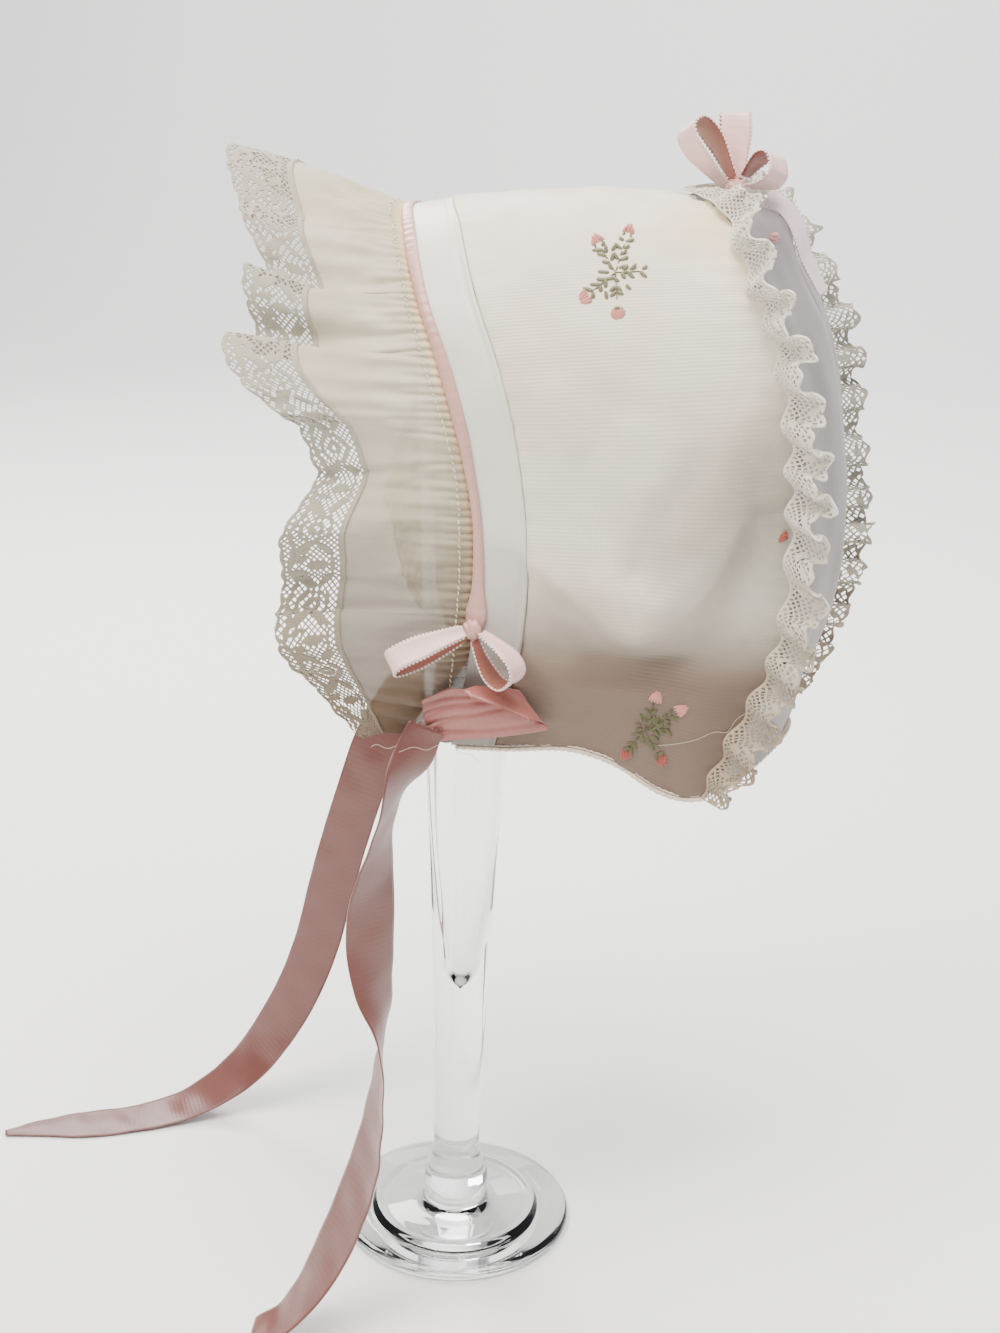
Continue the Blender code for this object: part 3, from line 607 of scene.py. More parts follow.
RUFFLE_FOLDS = (  # a, lift of the fold at the lace's edge, pull towards the crown there
    (0.00, 2.5, 0.0), (0.05, 0.0, -1.0), (0.10, -5.0, 0.0), (0.17, 5.0, -1.0), (0.235, -5.5, 4.0),
    (0.29, 4.0, 0.0), (0.345, -6.0, -1.0), (0.40, 6.5, -5.0), (0.47, 3.0, 6.0), (0.545, -6.5, 10.0),
    (0.63, 5.0, 2.0), (0.72, -4.5, 0.0), (0.81, 4.5, -1.0), (0.90, -3.5, 0.0), (1.00, 1.0, 0.0),
)
LACE_REACH = 0.48
PLEATS = (  # a of each lap on the ruffle, how far the part below it laps up over the part above
    (0.135, 3.0), (0.262, 4.0), (0.372, 6.0), (0.515, -5.0), (0.675, -2.5), (0.765, 3.0),
)
PLEAT_TURN, PLEAT_SPREAD = 0.010, 0.034  # in a: how tight a lap turns back, and how far it is felt


def way_along(seam, v, step):
    """Unit vectors along a seam towards the far side."""
    return unit(seam(np.clip(v + step, -1, 1)) - seam(np.clip(v - step, -1, 1)))


def ruffle(v, t):
    """The ruffle and its lace, in mm: t is 0 at the gathers, 1 at the heading, then the lace."""
    v, t = paired(v, t)
    seam, head, edge = front_seam(v), horseshoe(RUFFLE_HEAD, v), horseshoe(LACE_EDGE, v)
    inner, outer = np.clip(t, 0, 1)[:, None], (np.clip(t - 1, 0, None) / LACE_REACH)[:, None]
    points = seam + (head - seam) * inner + (edge - head) * outer
    lift, pull = curve_rows(RUFFLE_FOLDS, np.abs(v)).T
    reach = t / (1 + LACE_REACH)
    run = run_along(front_seam, v)
    fine = 0.5 * pucker(run, 2.35, 1.3, 5) * np.exp(-t / 0.22)  # the gathers, and what they open into
    fine += 0.9 * pucker(run, 7.1, 1.6, 9) * t * np.exp(-t / 0.5)
    fine += 0.35 * pucker(run, 4.3, 2.0, 7) * np.clip(t * 3, 0, 1) * np.exp(-t / 0.6)
    fine += 1.5 * rumple(run * 1.3, 14 * t, 9, 14) * np.clip(t * 2.5, 0, 1) * np.clip(1.6 - t, 0, 1)
    fine += 0.5 * rumple(run * 1.2, 22 * t, 4.5, 15) * np.clip(t * 3, 0, 1) * np.clip(1.4 - t, 0, 1)
    out = out_of_head(v)
    points = points + out * (lift * np.maximum(reach, 0) ** 1.3 + fine)[:, None]
    points[:, 0] += pull * reach
    points -= out * (1.1 * np.clip(1 - t / 0.07, 0, 1))[:, None]
    a, side = np.abs(v), np.sign(v)
    down = way_along(front_seam, v, 0.004) * side[:, None]
    lap = np.zeros(len(v))
    for place, size in PLEATS:
        away = a - place
        lap -= size * np.tanh(away / PLEAT_TURN) * np.exp(-((away / PLEAT_SPREAD) ** 2))
    points += down * (lap * np.clip(reach * 1.25, 0, 1) ** 1.2)[:, None]
    return points


def ruffle_place(along, across):
    return ruffle(2 * along - 1, 1.03 * across - 0.03)


# Painted shade: the organza darkens towards the bottom.
ORGANZA_PAINTED_SHADE, ORGANZA_CLOUD, ORGANZA_EDGE = (0.16, 0.10, 0.055), (0.60, 0.50, 0.35), (1.0, 0.72, 0.42)
ORGANZA_WALL, ORGANZA_SHEER, GATHERED_WIDTH = 0.25, 0.76, 4.2
STIFF_SHEER = (0.62, 0.42, 0.42, 0.3, 0.35)
organza = woven(
    "cream organza",
    (0.72, 0.65, 0.48),
    STIFF_SHEER,
    (ORGANZA_PAINTED_SHADE, 185, 285),
    alpha=ORGANZA_SHEER,
    patch=ORGANZA_CLOUD,
    edge=(ORGANZA_EDGE, GATHERED_WIDTH),
)
organza_ruffle = cut_cloth("organza_ruffle", (1300, 24), (620.0, 34.0), ruffle_place, ORGANZA_WALL)
finish_piece(organza_ruffle, "organza", "face_ruffle", material=organza)

# The lace round the face: machine-made cotton lace with a dense heading, a diamond net ground,
# ovals and leaves filled in like darned cells, and a wavy outer border. It is eased onto the organza.
LACE_WIDTH = 20.0
SMALLEST_CELL = 0.04  # square mm, below which a cell is left out
LACE_CELL, LACE_THREAD = 1.32, 0.42  # the net's cells from thread to thread, and its threads
LACE_WALL = 0.55
NET_SHARE = 0.5  # the net's thickness over that of the filled cells
MOTIF_REPEAT = 25.0
OUTLINE_SNAP = 0.4  # the net's knots this near to an outline are drawn onto it
LEAVES = (  # along from the oval, across from the heading, tilt, half width, half length
    (6.6, 12.6, -34, 1.25, 3.9), (-6.6, 12.6, 34, 1.25, 3.9), (7.0, 6.0, 40, 1.1, 3.0),
    (-7.0, 6.0, -40, 1.1, 3.0), (12.5, 8.6, 0, 1.3, 3.4), (10.2, 13.4, -20, 0.9, 2.2),
    (-10.2, 13.4, 20, 0.9, 2.2), (12.5, 4.0, 90, 0.7, 2.6),
)
OVAL = (9.4, 4.1, 5.4)  # across, half width, half length


def turned(degrees):
    """Cosine and sine of an angle."""
    return math.cos(math.radians(degrees)), math.sin(math.radians(degrees))


def oval_share(s, h, x, y, tilt, half_width, half_length):
    """How far out a place on the lace is in an oval, 1 on its outline."""
    dx, dy = (s - x + MOTIF_REPEAT / 2) % MOTIF_REPEAT - MOTIF_REPEAT / 2, h - y
    c, n = turned(tilt)
    return np.hypot((dx * c + dy * n) / half_width, (dy * c - dx * n) / half_length)


def face_edge(s):
    """Width of the face lace at s, with its shallow scallops."""
    return LACE_WIDTH - 0.9 + 0.9 * np.abs(np.sin(math.pi * s / (MOTIF_REPEAT / 4)))


def face_pattern(s, h):
    """Below zero where the lace is dense, in about mm from the outline."""
    wave = 16.2 + 0.8 * np.cos(math.tau * s / (MOTIF_REPEAT / 2))
    dense = np.minimum(h - 1.7, np.abs(h - wave) - 0.75)
    dense = np.minimum(dense, face_edge(s) - 1.0 - h)
    for leaf in LEAVES:
        dense = np.minimum(dense, (oval_share(s, h, *leaf) - 1) * leaf[3])
    across, half_width, half_length = OVAL
    share = oval_share(s, h, 0, across, 0, half_width, half_length)
    ring = np.maximum(share - 1, 0.16 - np.abs(share - 0.62)) * half_width
    return np.minimum(dense, np.maximum(ring, (0.22 - share) * half_width))


def bobbin_lace(name, length, cut_width, edge, pattern, place):
    """Lace as a net of diamond cells, those inside the pattern filled, laid by place(s, h)."""
    rows = int((length + cut_width) / LACE_CELL)
    columns = np.arange(-rows, cut_width // LACE_CELL + 2, dtype=int)
    i, j = (grid.ravel() for grid in np.meshgrid(np.arange(-2, rows), columns, indexing="ij"))

    def in_lace(p, q):
        return (p - q) / math.sqrt(2), (p + q) / math.sqrt(2)

    s, h = in_lace((i + 0.5) * LACE_CELL, (j + 0.5) * LACE_CELL)
    kept = (s > -0.4) & (s < length + 0.4) & (h > -0.4) & (h < edge(s) + 0.4)
    i, j = i[kept], j[kept]
    middle = 0.5 * (LACE_CELL + LACE_THREAD)
    filled = pattern(*in_lace(i * LACE_CELL + middle, j * LACE_CELL + middle)) < 0
    quads = []
    for a, b, chosen in ((0, 0, None), (1, 0, None), (0, 1, None), (1, 1, filled)):
        x, y = 2 * i + a, 2 * j + b
        quad = np.stack([x, y, x + 1, y, x + 1, y + 1, x, y + 1], 1).reshape(-1, 4, 2)
        quads.append(quad if chosen is None else quad[chosen])
    corners = np.concatenate(quads)
    knots, index = np.unique(corners.reshape(-1, 2), axis=0, return_inverse=True)
    faces = index.reshape(-1, 4)
    place_in_net = (knots // 2) * LACE_CELL + (knots % 2) * LACE_THREAD
    s, h = in_lace(place_in_net[:, 0], place_in_net[:, 1])
    s = np.clip(s, 0, length)
    value, step = pattern(s, h), 0.05
    slope_s = (pattern(s + step, h) - pattern(s - step, h)) / (2 * step)
    slope_h = (pattern(s, h + step) - pattern(s, h - step)) / (2 * step)
    steep = np.maximum(slope_s**2 + slope_h**2, 0.3)
    draw = np.where(np.abs(value) < OUTLINE_SNAP, value / steep, 0)
    s, h = np.clip(s - draw * slope_s, 0, length), h - draw * slope_h
    h = np.clip(h, 0, edge(s))
    x, y = s[faces], h[faces]
    area = np.abs((x[:, 2] - x[:, 0]) * (y[:, 3] - y[:, 1]) - (x[:, 3] - x[:, 1]) * (y[:, 2] - y[:, 0]))
    faces = faces[area > SMALLEST_CELL]
    used, faces = np.unique(faces, return_inverse=True)
    faces = faces.reshape(-1, 4)
    s, h, value = s[used], h[used], value[used]
    mesh = bpy.data.meshes.new(name)
    mesh.from_pydata((MM * place(s, h)).tolist(), [], faces.tolist())
    corner_map = mesh.uv_layers.new(name="cut")
    corner = faces.ravel()
    corner_map.data.foreach_set("uv", (MM * np.stack([s[corner], h[corner]], 1)).ravel())
    piece = new_object(name, mesh)
    group = piece.vertex_groups.new(name="dense")
    group.add(np.flatnonzero(value < 0.15).tolist(), 1.0, "REPLACE")
    select_only(piece)
    thick = piece.modifiers.new("Wall", "SOLIDIFY")
    thick.thickness = LACE_WALL * MM
    thick.offset = 0
    thick.vertex_group = "dense"
    thick.thickness_vertex_group = NET_SHARE
    bpy.ops.object.modifier_apply(modifier="Wall")
    bpy.ops.object.shade_smooth_by_angle(angle=math.radians(40))
    return piece


around = np.linspace(-1, 1, 3001)
face_run = length_table(ruffle(around, 1 + LACE_REACH / 2))


def face_lace_place(s, h):
    v, t = np.interp(s, face_run, around), 0.99 + (LACE_REACH + 0.01) * h / LACE_WIDTH
    ripple = 0.45 * pucker(s, 9.3, 1.5, 17) * h / LACE_WIDTH + 0.3 * rumple(s, h, 12, 21)
    return ruffle(v, t) + out_of_head(v) * (0.5 * np.clip(1 - h, 0, 1) + ripple)[:, None]


# The face lace's cotton is painted darker than the back lace's, as painted shade for the dark inside seen
# through its holes, and darker still towards the bottom as painted shade.
LACE_SHADED_CREAM, LACE_PAINTED_SHADE = (0.50, 0.46, 0.36), (0.24, 0.18, 0.115)
TWISTED_COTTON = (0.8, 0.42, 0.38, 0.5, 0.3)
cotton = woven("cream cotton lace", LACE_SHADED_CREAM, TWISTED_COTTON, (LACE_PAINTED_SHADE, 175, 285))
face_trim = bobbin_lace("face_lace_net", face_run[-1], LACE_WIDTH, face_edge, face_pattern, face_lace_place)
finish_piece(face_trim, "lace", "face_lace", material=cotton)

# The lace over the back seam: a narrower length of the same lace, sewn down by its heading along
# the seam in a running meander, so that its free edge stands up in soft waves.
TRIM_WIDTH = 12.0
TRIM_SPREAD = 2.4
TRIM_OVER = 2.2  # how far its sewn edge lies over the silk
TRIM_MEANDER = 12.5
TRIM_SWAY = (1.4, 2.5)
TRIM_CURL = 1.5  # along the seam, so that each wave turns back on itself
TRIM_LEAN = (  # v from the near hem (-1) to the far hem (1), lean out of the crown's line, in degrees
    (-1.0, 50), (-0.5, 60), (-0.15, 64), (0.0, 20), (0.12, 66), (0.35, 52), (0.6, 32), (0.8, 16),
    (1.0, 10),
)
TRIM_ENDS = (0.5, 0.08)  # how much lower it ends at the hems, and over how much v
TRIM_SQUEEZE = (0.93, 0.125)  # how flat it is pressed under the bow, and over how much v
TRIM_DROOP = 0.9


def at_bow(v):
    """1 where the bow presses the lace down, and 0 away from it."""
    return np.exp(-((v / TRIM_SQUEEZE[1]) ** 2))


def back_trim(v, w):
    """The back seam's lace, w from its sewn edge (0) to its free edge (1), in mm."""
    loose = 1 - TRIM_SQUEEZE[0] * at_bow(v)
    loose *= 1 + 0.22 * rumple(60 * v, 0 * v, 13, 41)
    loose -= TRIM_ENDS[0] * np.clip(1 - (1 - np.abs(v)) / TRIM_ENDS[1], 0, 1)
    run = run_along(back_seam, v)
    phase = math.tau * run / TRIM_MEANDER + 0.9 * np.sin(run / 19) + 0.5 * np.sin(run / 7.3)
    out = out_of_head(v)
    lean = np.radians(curve_rows(TRIM_LEAN, v)[:, 0])
    rise = out * np.sin(lean)[:, None] + np.array([1.0, 0, 0]) * np.cos(lean)[:, None]
    rise[:, 2] -= TRIM_DROOP * np.clip((v - 0.8) / 0.2, 0, 1) ** 2
    rise = unit(rise)
    along = way_along(back_seam, v, 0.005)
    side = np.cross(along, rise)
    foot = back_seam(v) + out * TRIM_SPREAD - np.array([TRIM_OVER, 0, 0]) * (1 - w)[:, None]
    sewn = side * (loose * TRIM_SWAY[0] * np.sin(phase))[:, None]
    sway = side * (loose * TRIM_SWAY[1] * np.sin(phase + 0.5))[:, None]
    free = rise * (loose * TRIM_WIDTH)[:, None] + sway
    curl = along * (loose * TRIM_CURL * np.sin(2 * phase + 1.0 + 0.8 * np.sin(phase / 3.7)))[:, None]
    w = w[:, None]
    return foot + sewn * (1 - w) + free * w + sway * 0.6 * w * (1 - w) - curl * w


def back_edge(s):
    return TRIM_WIDTH - 0.8 + 0.8 * np.abs(np.sin(math.pi * s / (MOTIF_REPEAT / 4)))


def back_pattern(s, h):
    dense = np.minimum(h - 1.1, back_edge(s) - 0.7 - h)
    wave = 8.6 + 0.7 * np.cos(math.tau * s / (MOTIF_REPEAT / 4))
    dense = np.minimum(dense, np.abs(h - wave) - 0.4)
    for x in (0, MOTIF_REPEAT / 2):
        dense = np.minimum(dense, (oval_share(s, h, x, 4.8, 0, 1.2, 1.9) - 1) * 1.2)
    return dense


back_run = length_table(back_trim(around, np.full(len(around), 0.5)))


def back_lace_place(s, h):
    v, w = np.interp(s, back_run, around), h / TRIM_WIDTH
    points = back_trim(v, w)
    ripple = 0.75 * w * pucker(s, 4.9, 2, 23) + 1.5 * w * rumple(s, 0.6 * h, 9, 33)
    ripple *= 1 - at_bow(v)
    points[:, 0] += 0.8 * ripple
    return points + out_of_head(v) * ripple[:, None]


back_net = bobbin_lace("back_lace_net", back_run[-1], TRIM_WIDTH, back_edge, back_pattern, back_lace_place)
# Painted shade: the trim darkens towards the bottom, and two broad patches darken its far side.
TRIM_CREAM, TRIM_PAINTED_SHADE = (0.82, 0.77, 0.64), (0.42, 0.33, 0.23)
TRIM_FAR_PAINTED_SHADE = (((0.15, 0.135, 0.10), (118, 82, 300), 46), ((0.13, 0.115, 0.085), (118, 82, 240), 46))
back_cotton = woven("back cotton lace", TRIM_CREAM, TWISTED_COTTON, (TRIM_PAINTED_SHADE, 185, 262), TRIM_FAR_PAINTED_SHADE)
finish_piece(back_net, "lace", "back_lace", material=back_cotton)

# The seam ribbon: narrow pink satin sewn over the raw gathers, flat on top, rolled in on itself
# towards the ears, and opened out just above each bow.
RIBBON_SPAN = 0.805
SEAM_RIBBON_U = (-0.008, 0.028)
SEAM_RIBBON_LIFT, SEAM_RIBBON_WALL = 1.5, 0.4
FLARE = (0.765, 0.03, 0.9)  # v where the ribbon opens out above the bow, over how much v, by how much
SATIN_STRETCH, SATIN_SHINE = 0.55, 0.6  # how far its highlights are drawn out, and how strong they are


def satin(name, colour, gleam, warp=0.28):
    """Ribbon satin: fine warp lines along its length, a soft gleam and a little uneven dye."""
    made = woven(name, colour, (0.33, 1.6, warp, 0.10, 0.35))
    shader = made.node_tree.nodes["Principled BSDF"]
    shader.inputs["Anisotropic"].default_value = SATIN_STRETCH
    shader.inputs["Specular IOR Level"].default_value = SATIN_SHINE
    shader.inputs["Sheen Tint"].default_value = (*gleam, 1)
    return made


pink_satin = satin("pink satin", (0.62, 0.34, 0.29), (1.0, 0.85, 0.84))


def seam_ribbon_place(along, across):
    v = RIBBON_SPAN * (2 * along - 1)
    a, run = np.abs(v), run_along(front_seam, v)
    low, high = SEAM_RIBBON_U
    at, over, wider = FLARE
    roll = np.clip((a - 0.15) / 0.3, 0, 1)
    narrow = 1 - 0.3 * roll * (0.5 + 0.5 * np.sin(run / 9))
    narrow += wider * np.exp(-(((a - at) / over) ** 2))
    narrow -= 0.5 * np.clip((a - at) / (RIBBON_SPAN - at), 0, 1)
    centre = (low + high) / 2 + 0.003 * rumple(run, 0 * v, 30, 4)
    u = centre + (across - 0.5) * (high - low) * narrow
    arch = (1 - (2 * across - 1) ** 2) * (0.25 + 0.75 * roll)
    puckered = 0.16 * np.sin(math.tau * run / 2.9) * (1 - arch)
    return crown(u, v, SEAM_RIBBON_LIFT - 0.45 + arch + puckered)


seam_strip = cut_cloth("seam_ribbon_satin", (620, 10), (235.0, 3.4), seam_ribbon_place, SEAM_RIBBON_WALL)
finish_piece(seam_strip, "pink_satin", "seam_ribbon", material=pink_satin)

# The gathering stitches: a row of small slanted stitches of cream silk thread beside the ribbon,
# which whip the ruffle's gathers down.


def joined_copies(name, shape, matrices, material):
    """One mesh of many copies of a small shape, one for each 4 by 4 matrix (in metres)."""
    points = np.array([(*v.co, 1) for v in shape.data.vertices])
    faces = [list(f.vertices) for f in shape.data.polygons]
    placed = np.einsum("nij,kj->nki", np.array(matrices), points)[:, :, :3].reshape(-1, 3)
    ring = [[c + n * len(points) for c in f] for n in range(len(matrices)) for f in faces]
    mesh = bpy.data.meshes.new(name)
    mesh.from_pydata(placed.tolist(), [], ring)
    mesh.polygons.foreach_set("use_smooth", [True] * len(mesh.polygons))
    mesh.materials.append(material)
    return new_object(name, mesh)


def frames(centre, along, out, length, width, height):
    """Matrices that lay a unit shape at each centre, its X along and its Z out, sized in mm."""
    along = unit(along)
    out = unit(out - along * np.sum(out * along, axis=1, keepdims=True))
    aside = np.cross(out, along)
    made = np.zeros((len(centre), 4, 4))
    for column, (way, size) in enumerate(((along, length), (aside, width), (out, height))):
        made[:, :3, column] = way * (MM * np.broadcast_to(size, len(centre)))[:, None]
    made[:, :3, 3] = MM * centre
    made[:, 3, 3] = 1
    return made


def small_shape(kind):
    """A stitch or a bead, 1 long, 1 wide and 1 high, kept aside while it is copied."""
    bpy.ops.object.select_all(action="DESELECT")
    if kind == "bead":
        bpy.ops.mesh.primitive_ico_sphere_add(subdivisions=2, radius=0.5)
    else:
        on_its_side = (0, math.pi / 2, 0)
        bpy.ops.mesh.primitive_uv_sphere_add(segments=8, ring_count=6, radius=0.5, rotation=on_its_side)
        bpy.ops.object.transform_apply(location=False, rotation=True, scale=False)
        for vert in bpy.context.object.data.vertices:
            vert.co.x = 0.5 * math.copysign(abs(2 * vert.co.x) ** 0.6, vert.co.x)
    return bpy.context.object


stitch, bead = small_shape("stitch"), small_shape("bead")


def gathering_line(v):
    return ruffle(v, 0.125) + out_of_head(v) * 0.55


WHIP_STITCH = (1.25, 0.42, 0.42)
whip_thread = woven("cream silk thread", (0.86, 0.74, 0.48), (0.5, 0.3, 0.3, 0.3, 0.3))
whip_v = np.linspace(-0.985, 0.985, 210)
whip_lean = np.radians(12 + np.random.default_rng(41).normal(0, 14, len(whip_v)))[:, None]
whip_out, whip_along = out_of_head(whip_v), way_along(gathering_line, whip_v, 0.002)
whip_way = whip_along * np.cos(whip_lean) + np.cross(whip_out, whip_along) * np.sin(whip_lean)
whip_frames = frames(gathering_line(whip_v), whip_way, whip_out, *WHIP_STITCH)
whips = joined_copies("gathering_stitches", stitch, whip_frames, whip_thread)
finish_piece(whips, "organza")

# The hems: the neck edges of the silk, rolled between finger and thumb into a narrow tube and
# whipped with tiny slanted stitches of cream silk thread.
HEM_ROLL, HEM_DROP = 1.1, 0.6
HEM_TURN = (math.radians(50), math.radians(345))  # where the curl of the silk starts, and how far it goes
HEM_STRIP, HEM_WALL = 6.0, 0.3  # width and thickness of the silk that is rolled up
HEM_STITCH, HEM_STITCH_STEP = (1.3, 0.3, 0.3), 2.4
SIDE_HEM, BACK_HEM = 74.0, 78.0
hem_silk = woven("pale hem silk", (0.80, 0.66, 0.54), DEEP_RIBBED)


def rolled_hem(node, path, length, facing=1):
    """A narrow strip of silk curled into a tube under the edge, path in mm, with its stitches."""
    path = through(path + np.array([0, 0, -HEM_DROP]), 260)
    along = unit(np.gradient(path, axis=0))
    up = unit(np.array([0.0, 0, 1]) - along * along[:, 2:3])
    aside = np.cross(along, up)
    wave = 0.10 * np.sin(np.arange(len(path)) * 0.9)

    def place(share, across):
        i = row_at(share, path)
        turn = HEM_TURN[0] + across * HEM_TURN[1]
        radius = (HEM_ROLL * (1 - 0.25 * across) - 0.1 + wave[i])[:, None]
        return path[i] + (up[i] * np.sin(turn)[:, None] + aside[i] * np.cos(turn)[:, None]) * radius

    hem = cut_cloth(f"{node}_roll", (len(path) - 1, 16), (length, HEM_STRIP), place, HEM_WALL)
    finish_piece(hem, "silk", node, material=hem_silk)
    chosen = np.linspace(3, len(path) - 4, int(length / HEM_STITCH_STEP)).astype(int)
    ways = along[chosen]
    outward = np.cross(ways, np.array([0.0, 0, 1])) * facing
    laid = frames(path[chosen] + outward * HEM_ROLL, ways + np.array([0, 0, 0.9]), outward, *HEM_STITCH)
    finish_piece(joined_copies(f"{node}_roll_stitches", stitch, laid, whip_thread), "silk")


hem_u = np.linspace(0.02, 0.985, 17)
for node, v in (("near_hem", -1.0), ("far_hem", 1.0)):
    rolled_hem(node, np.concatenate([crown(u, v) for u in hem_u]), SIDE_HEM, -v)
rolled_hem("back_hem", panel(np.linspace(-0.955, 0.955, 17), 1.0), BACK_HEM)

# The small bows by the ears: picot-edged pink satin ribbon, looped forward and back and caught
# down in the middle with a wrapped knot. Its face is paler than the insides of its loops, which are
# painted a darker rose as painted shade.
BOW_RIBBON = 7.0
KNOT_R, KNOT_TURNED = (2.5, 1.9, 2.8), 20
NEAR_KNOT = (10.3, -47.8, 219.6)
LOOP_START, TOP_LOOP_START = 2.5, 1.9
LOOP_TURN, LOOP_APART = 0.08, 0.8
LOOP_POINTS = 72
RIBBON_WALL = 0.35
NEAR_LOOPS = (  # name, tip x, y, z, opening, the way the width runs, and how far the loop sags
    ("front_loop", (-9.6, -59.0, 212.6), 4.0, (0.05, 0.64, 0.78), 2.0),
    ("back_loop", (22.6, -52.6, 207.6), 6.4, (-0.74, -0.60, 0.30), 0.5),
)
PICOT_STEP, PICOT = 1.1, (0.8, 0.62, 0.4)
RIBBON_CELLS = 8  # across a ribbon


def strip(name, line, half, cup, waves, seed, cells=RIBBON_CELLS, pinked=0.0):
    """A ribbon along a line (mm) with its half width as a vector at each point.

    cup curls its edges, waves ripples its face, and pinked cuts its first end in teeth that deep."""
    run = length_table(line)
    along = unit(np.gradient(line, axis=0))
    face = unit(np.cross(half, along))

    def place(share, across):
        i = row_at(share, line)
        w = 2 * across - 1
        lift = cup * w**2 + waves * rumple(run[i], 8 * w, 14, seed)
        teeth = pinked * (np.rint(across * cells) % 2) * (i == 0)
        return line[i] + half[i] * w[:, None] + face[i] * lift[:, None] - along[i] * teeth[:, None]

    width = 2 * np.linalg.norm(half, axis=1).max()
    return cut_cloth(name, (len(line) - 1, cells), (run[-1], width), place, RIBBON_WALL)


def picots(name, line, half):
    """The tiny loops woven along both edges of a ribbon, as beads a thread thick."""
    run = length_table(line)
    spots = np.arange(PICOT_STEP, run[-1] - PICOT_STEP, PICOT_STEP)
    centre, reach = read_off(spots, run, line), read_off(spots, run, half)
    along, edge = np.gradient(centre, axis=0), reach + unit(reach) * 0.12
    sets = [frames(centre + way * edge, along, np.cross(reach, along), *PICOT) for way in (-1, 1)]
    finish_piece(joined_copies(name, bead, np.concatenate(sets), picot_thread), "pink_satin")


def bow_loop(name, knot, start, shift, tip, opening, way, width, sag=0.0):
    """A loop of ribbon from the knot round its tip and back, which sags, with its picot edges."""
    knot, tip, way = np.array(knot) + np.array(shift), np.array(tip), np.array(way)
    ahead = unit(tip - knot)
    root = knot + ahead * start
    length = np.linalg.norm(tip - root)
    way = unit(way - ahead * (way @ ahead))
    aside = np.cross(way, ahead)
    turn = np.linspace(LOOP_TURN, 1 - LOOP_TURN, LOOP_POINTS) * math.tau
    forward = (math.cos(turn[0]) - np.cos(turn)) / (1 + math.cos(turn[0]))
    apart = LOOP_APART * np.tanh(6 * np.sin(turn))
    apart += (opening - LOOP_APART) * np.sin(turn) * (0.3 + 0.7 * forward)
    line = root + ahead * (forward * length)[:, None] + aside * apart[:, None]
    line[:, 2] -= sag * np.sin(turn / 2) * turn / math.tau
    half = way * ((0.5 + 0.5 * np.clip(forward * 1.6, 0, 1)) * (width - 0.6) / 2)[:, None]
    loop = strip(f"{name}_ribbon", line, half, cup=0.25, waves=0.35, seed=len(name))
    for satin_side in (pale_satin, shaded_inner_satin):
        loop.data.materials.append(satin_side)
    for face in loop.data.polygons[: (LOOP_POINTS - 1) * RIBBON_CELLS]:  # the side within the loop
        face.material_index = 1
    finish_piece(loop, "pink_satin", name)
    picots(f"{name}_picots", line, half)


def wrapped_knot(name, centre, radii, tilt):
    """A small knot: three turns of ribbon round the middle of the bow."""
    bpy.ops.object.select_all(action="DESELECT")
    bpy.ops.mesh.primitive_uv_sphere_add(segments=48, ring_count=32, radius=1)
    knot = bpy.context.object
    knot.name = knot.data.name = f"{name}_turns"
    places = np.array([v.co for v in knot.data.vertices])
    x, y, z = places.T
    ridge = 1 + 0.09 * np.cos(9 * x + 1.2 * np.sin(np.arctan2(y, z))) - 0.05 * np.exp(-(x**2) * 8)
    x, y, z = (places * ridge[:, None] * np.array(radii)).T
    c, n = turned(tilt)
    places = np.stack([x * c - z * n, y, x * n + z * c], 1)
    knot.data.vertices.foreach_set("co", (MM * (places + np.array(centre))).ravel())
    bpy.ops.object.shade_smooth()
    finish_piece(knot, "pink_satin", name, material=pink_satin)


picot_thread = satin("pale picot thread", (0.92, 0.78, 0.72), (1, 1, 1))
pale_satin = satin("pale pink satin", (0.86, 0.56, 0.53), (1.0, 0.9, 0.9))
# The insides of the loops take a darker rose copy of the satin, as painted shade.
shaded_inner_satin = satin("shaded rose satin", (0.34, 0.12, 0.09), (1.0, 0.8, 0.78))
for side, sign in (("near", 1), ("far", -1)):
    flip = np.array([1, sign, 1])
    knot = NEAR_KNOT * flip
    wrapped_knot(f"{side}_bow_knot", knot, KNOT_R, KNOT_TURNED)
    for part, tip, opening, way, sag in NEAR_LOOPS:
        name = f"{side}_bow_{part}"
        bow_loop(name, knot, LOOP_START, (0, 0, 0), tip * flip, opening, way * flip, BOW_RIBBON, sag)

# The bow at the top of the back seam: three loops of the same ribbon, a little wider, that stand up
# and out of a knot, and one tail that lies down the back panel.
TOP_RIBBON = 8.4
TOP_KNOT = (70.0, 0.0, 333.9)
TOP_KNOT_R = (3.0, 3.2, 2.6)
TOP_LOOPS = (  # name, shift of its root, tip x, y, z, opening, and the way the width runs
    ("front_loop", (-1.0, -2.0, 0.4), (57.0, -3.0, 350.0), 5.0, (0.45, -0.62, 0.45)),
    ("middle_loop", (-0.6, 2.0, 0.4), (68.0, 6.0, 353.0), 2.6, (0.97, 0.20, 0.05)),
    ("back_loop", (1.0, -0.8, 1.0), (80.5, -5.5, 341.0), 5.2, (-0.30, -0.85, 0.40)),
)
TAIL_SPAN = (0.10, 0.345)
TAIL_W = (-0.06, 0.20)
TAIL_LIFT = (1.3, 5.6)  # of its near edge and of its far edge, so that it turns its face to the side

wrapped_knot("top_bow_knot", TOP_KNOT, TOP_KNOT_R, 0)
for part, shift, tip, opening, way in TOP_LOOPS:
    bow_loop(f"top_bow_{part}", TOP_KNOT, TOP_LOOP_START, shift, tip, opening, way, TOP_RIBBON)


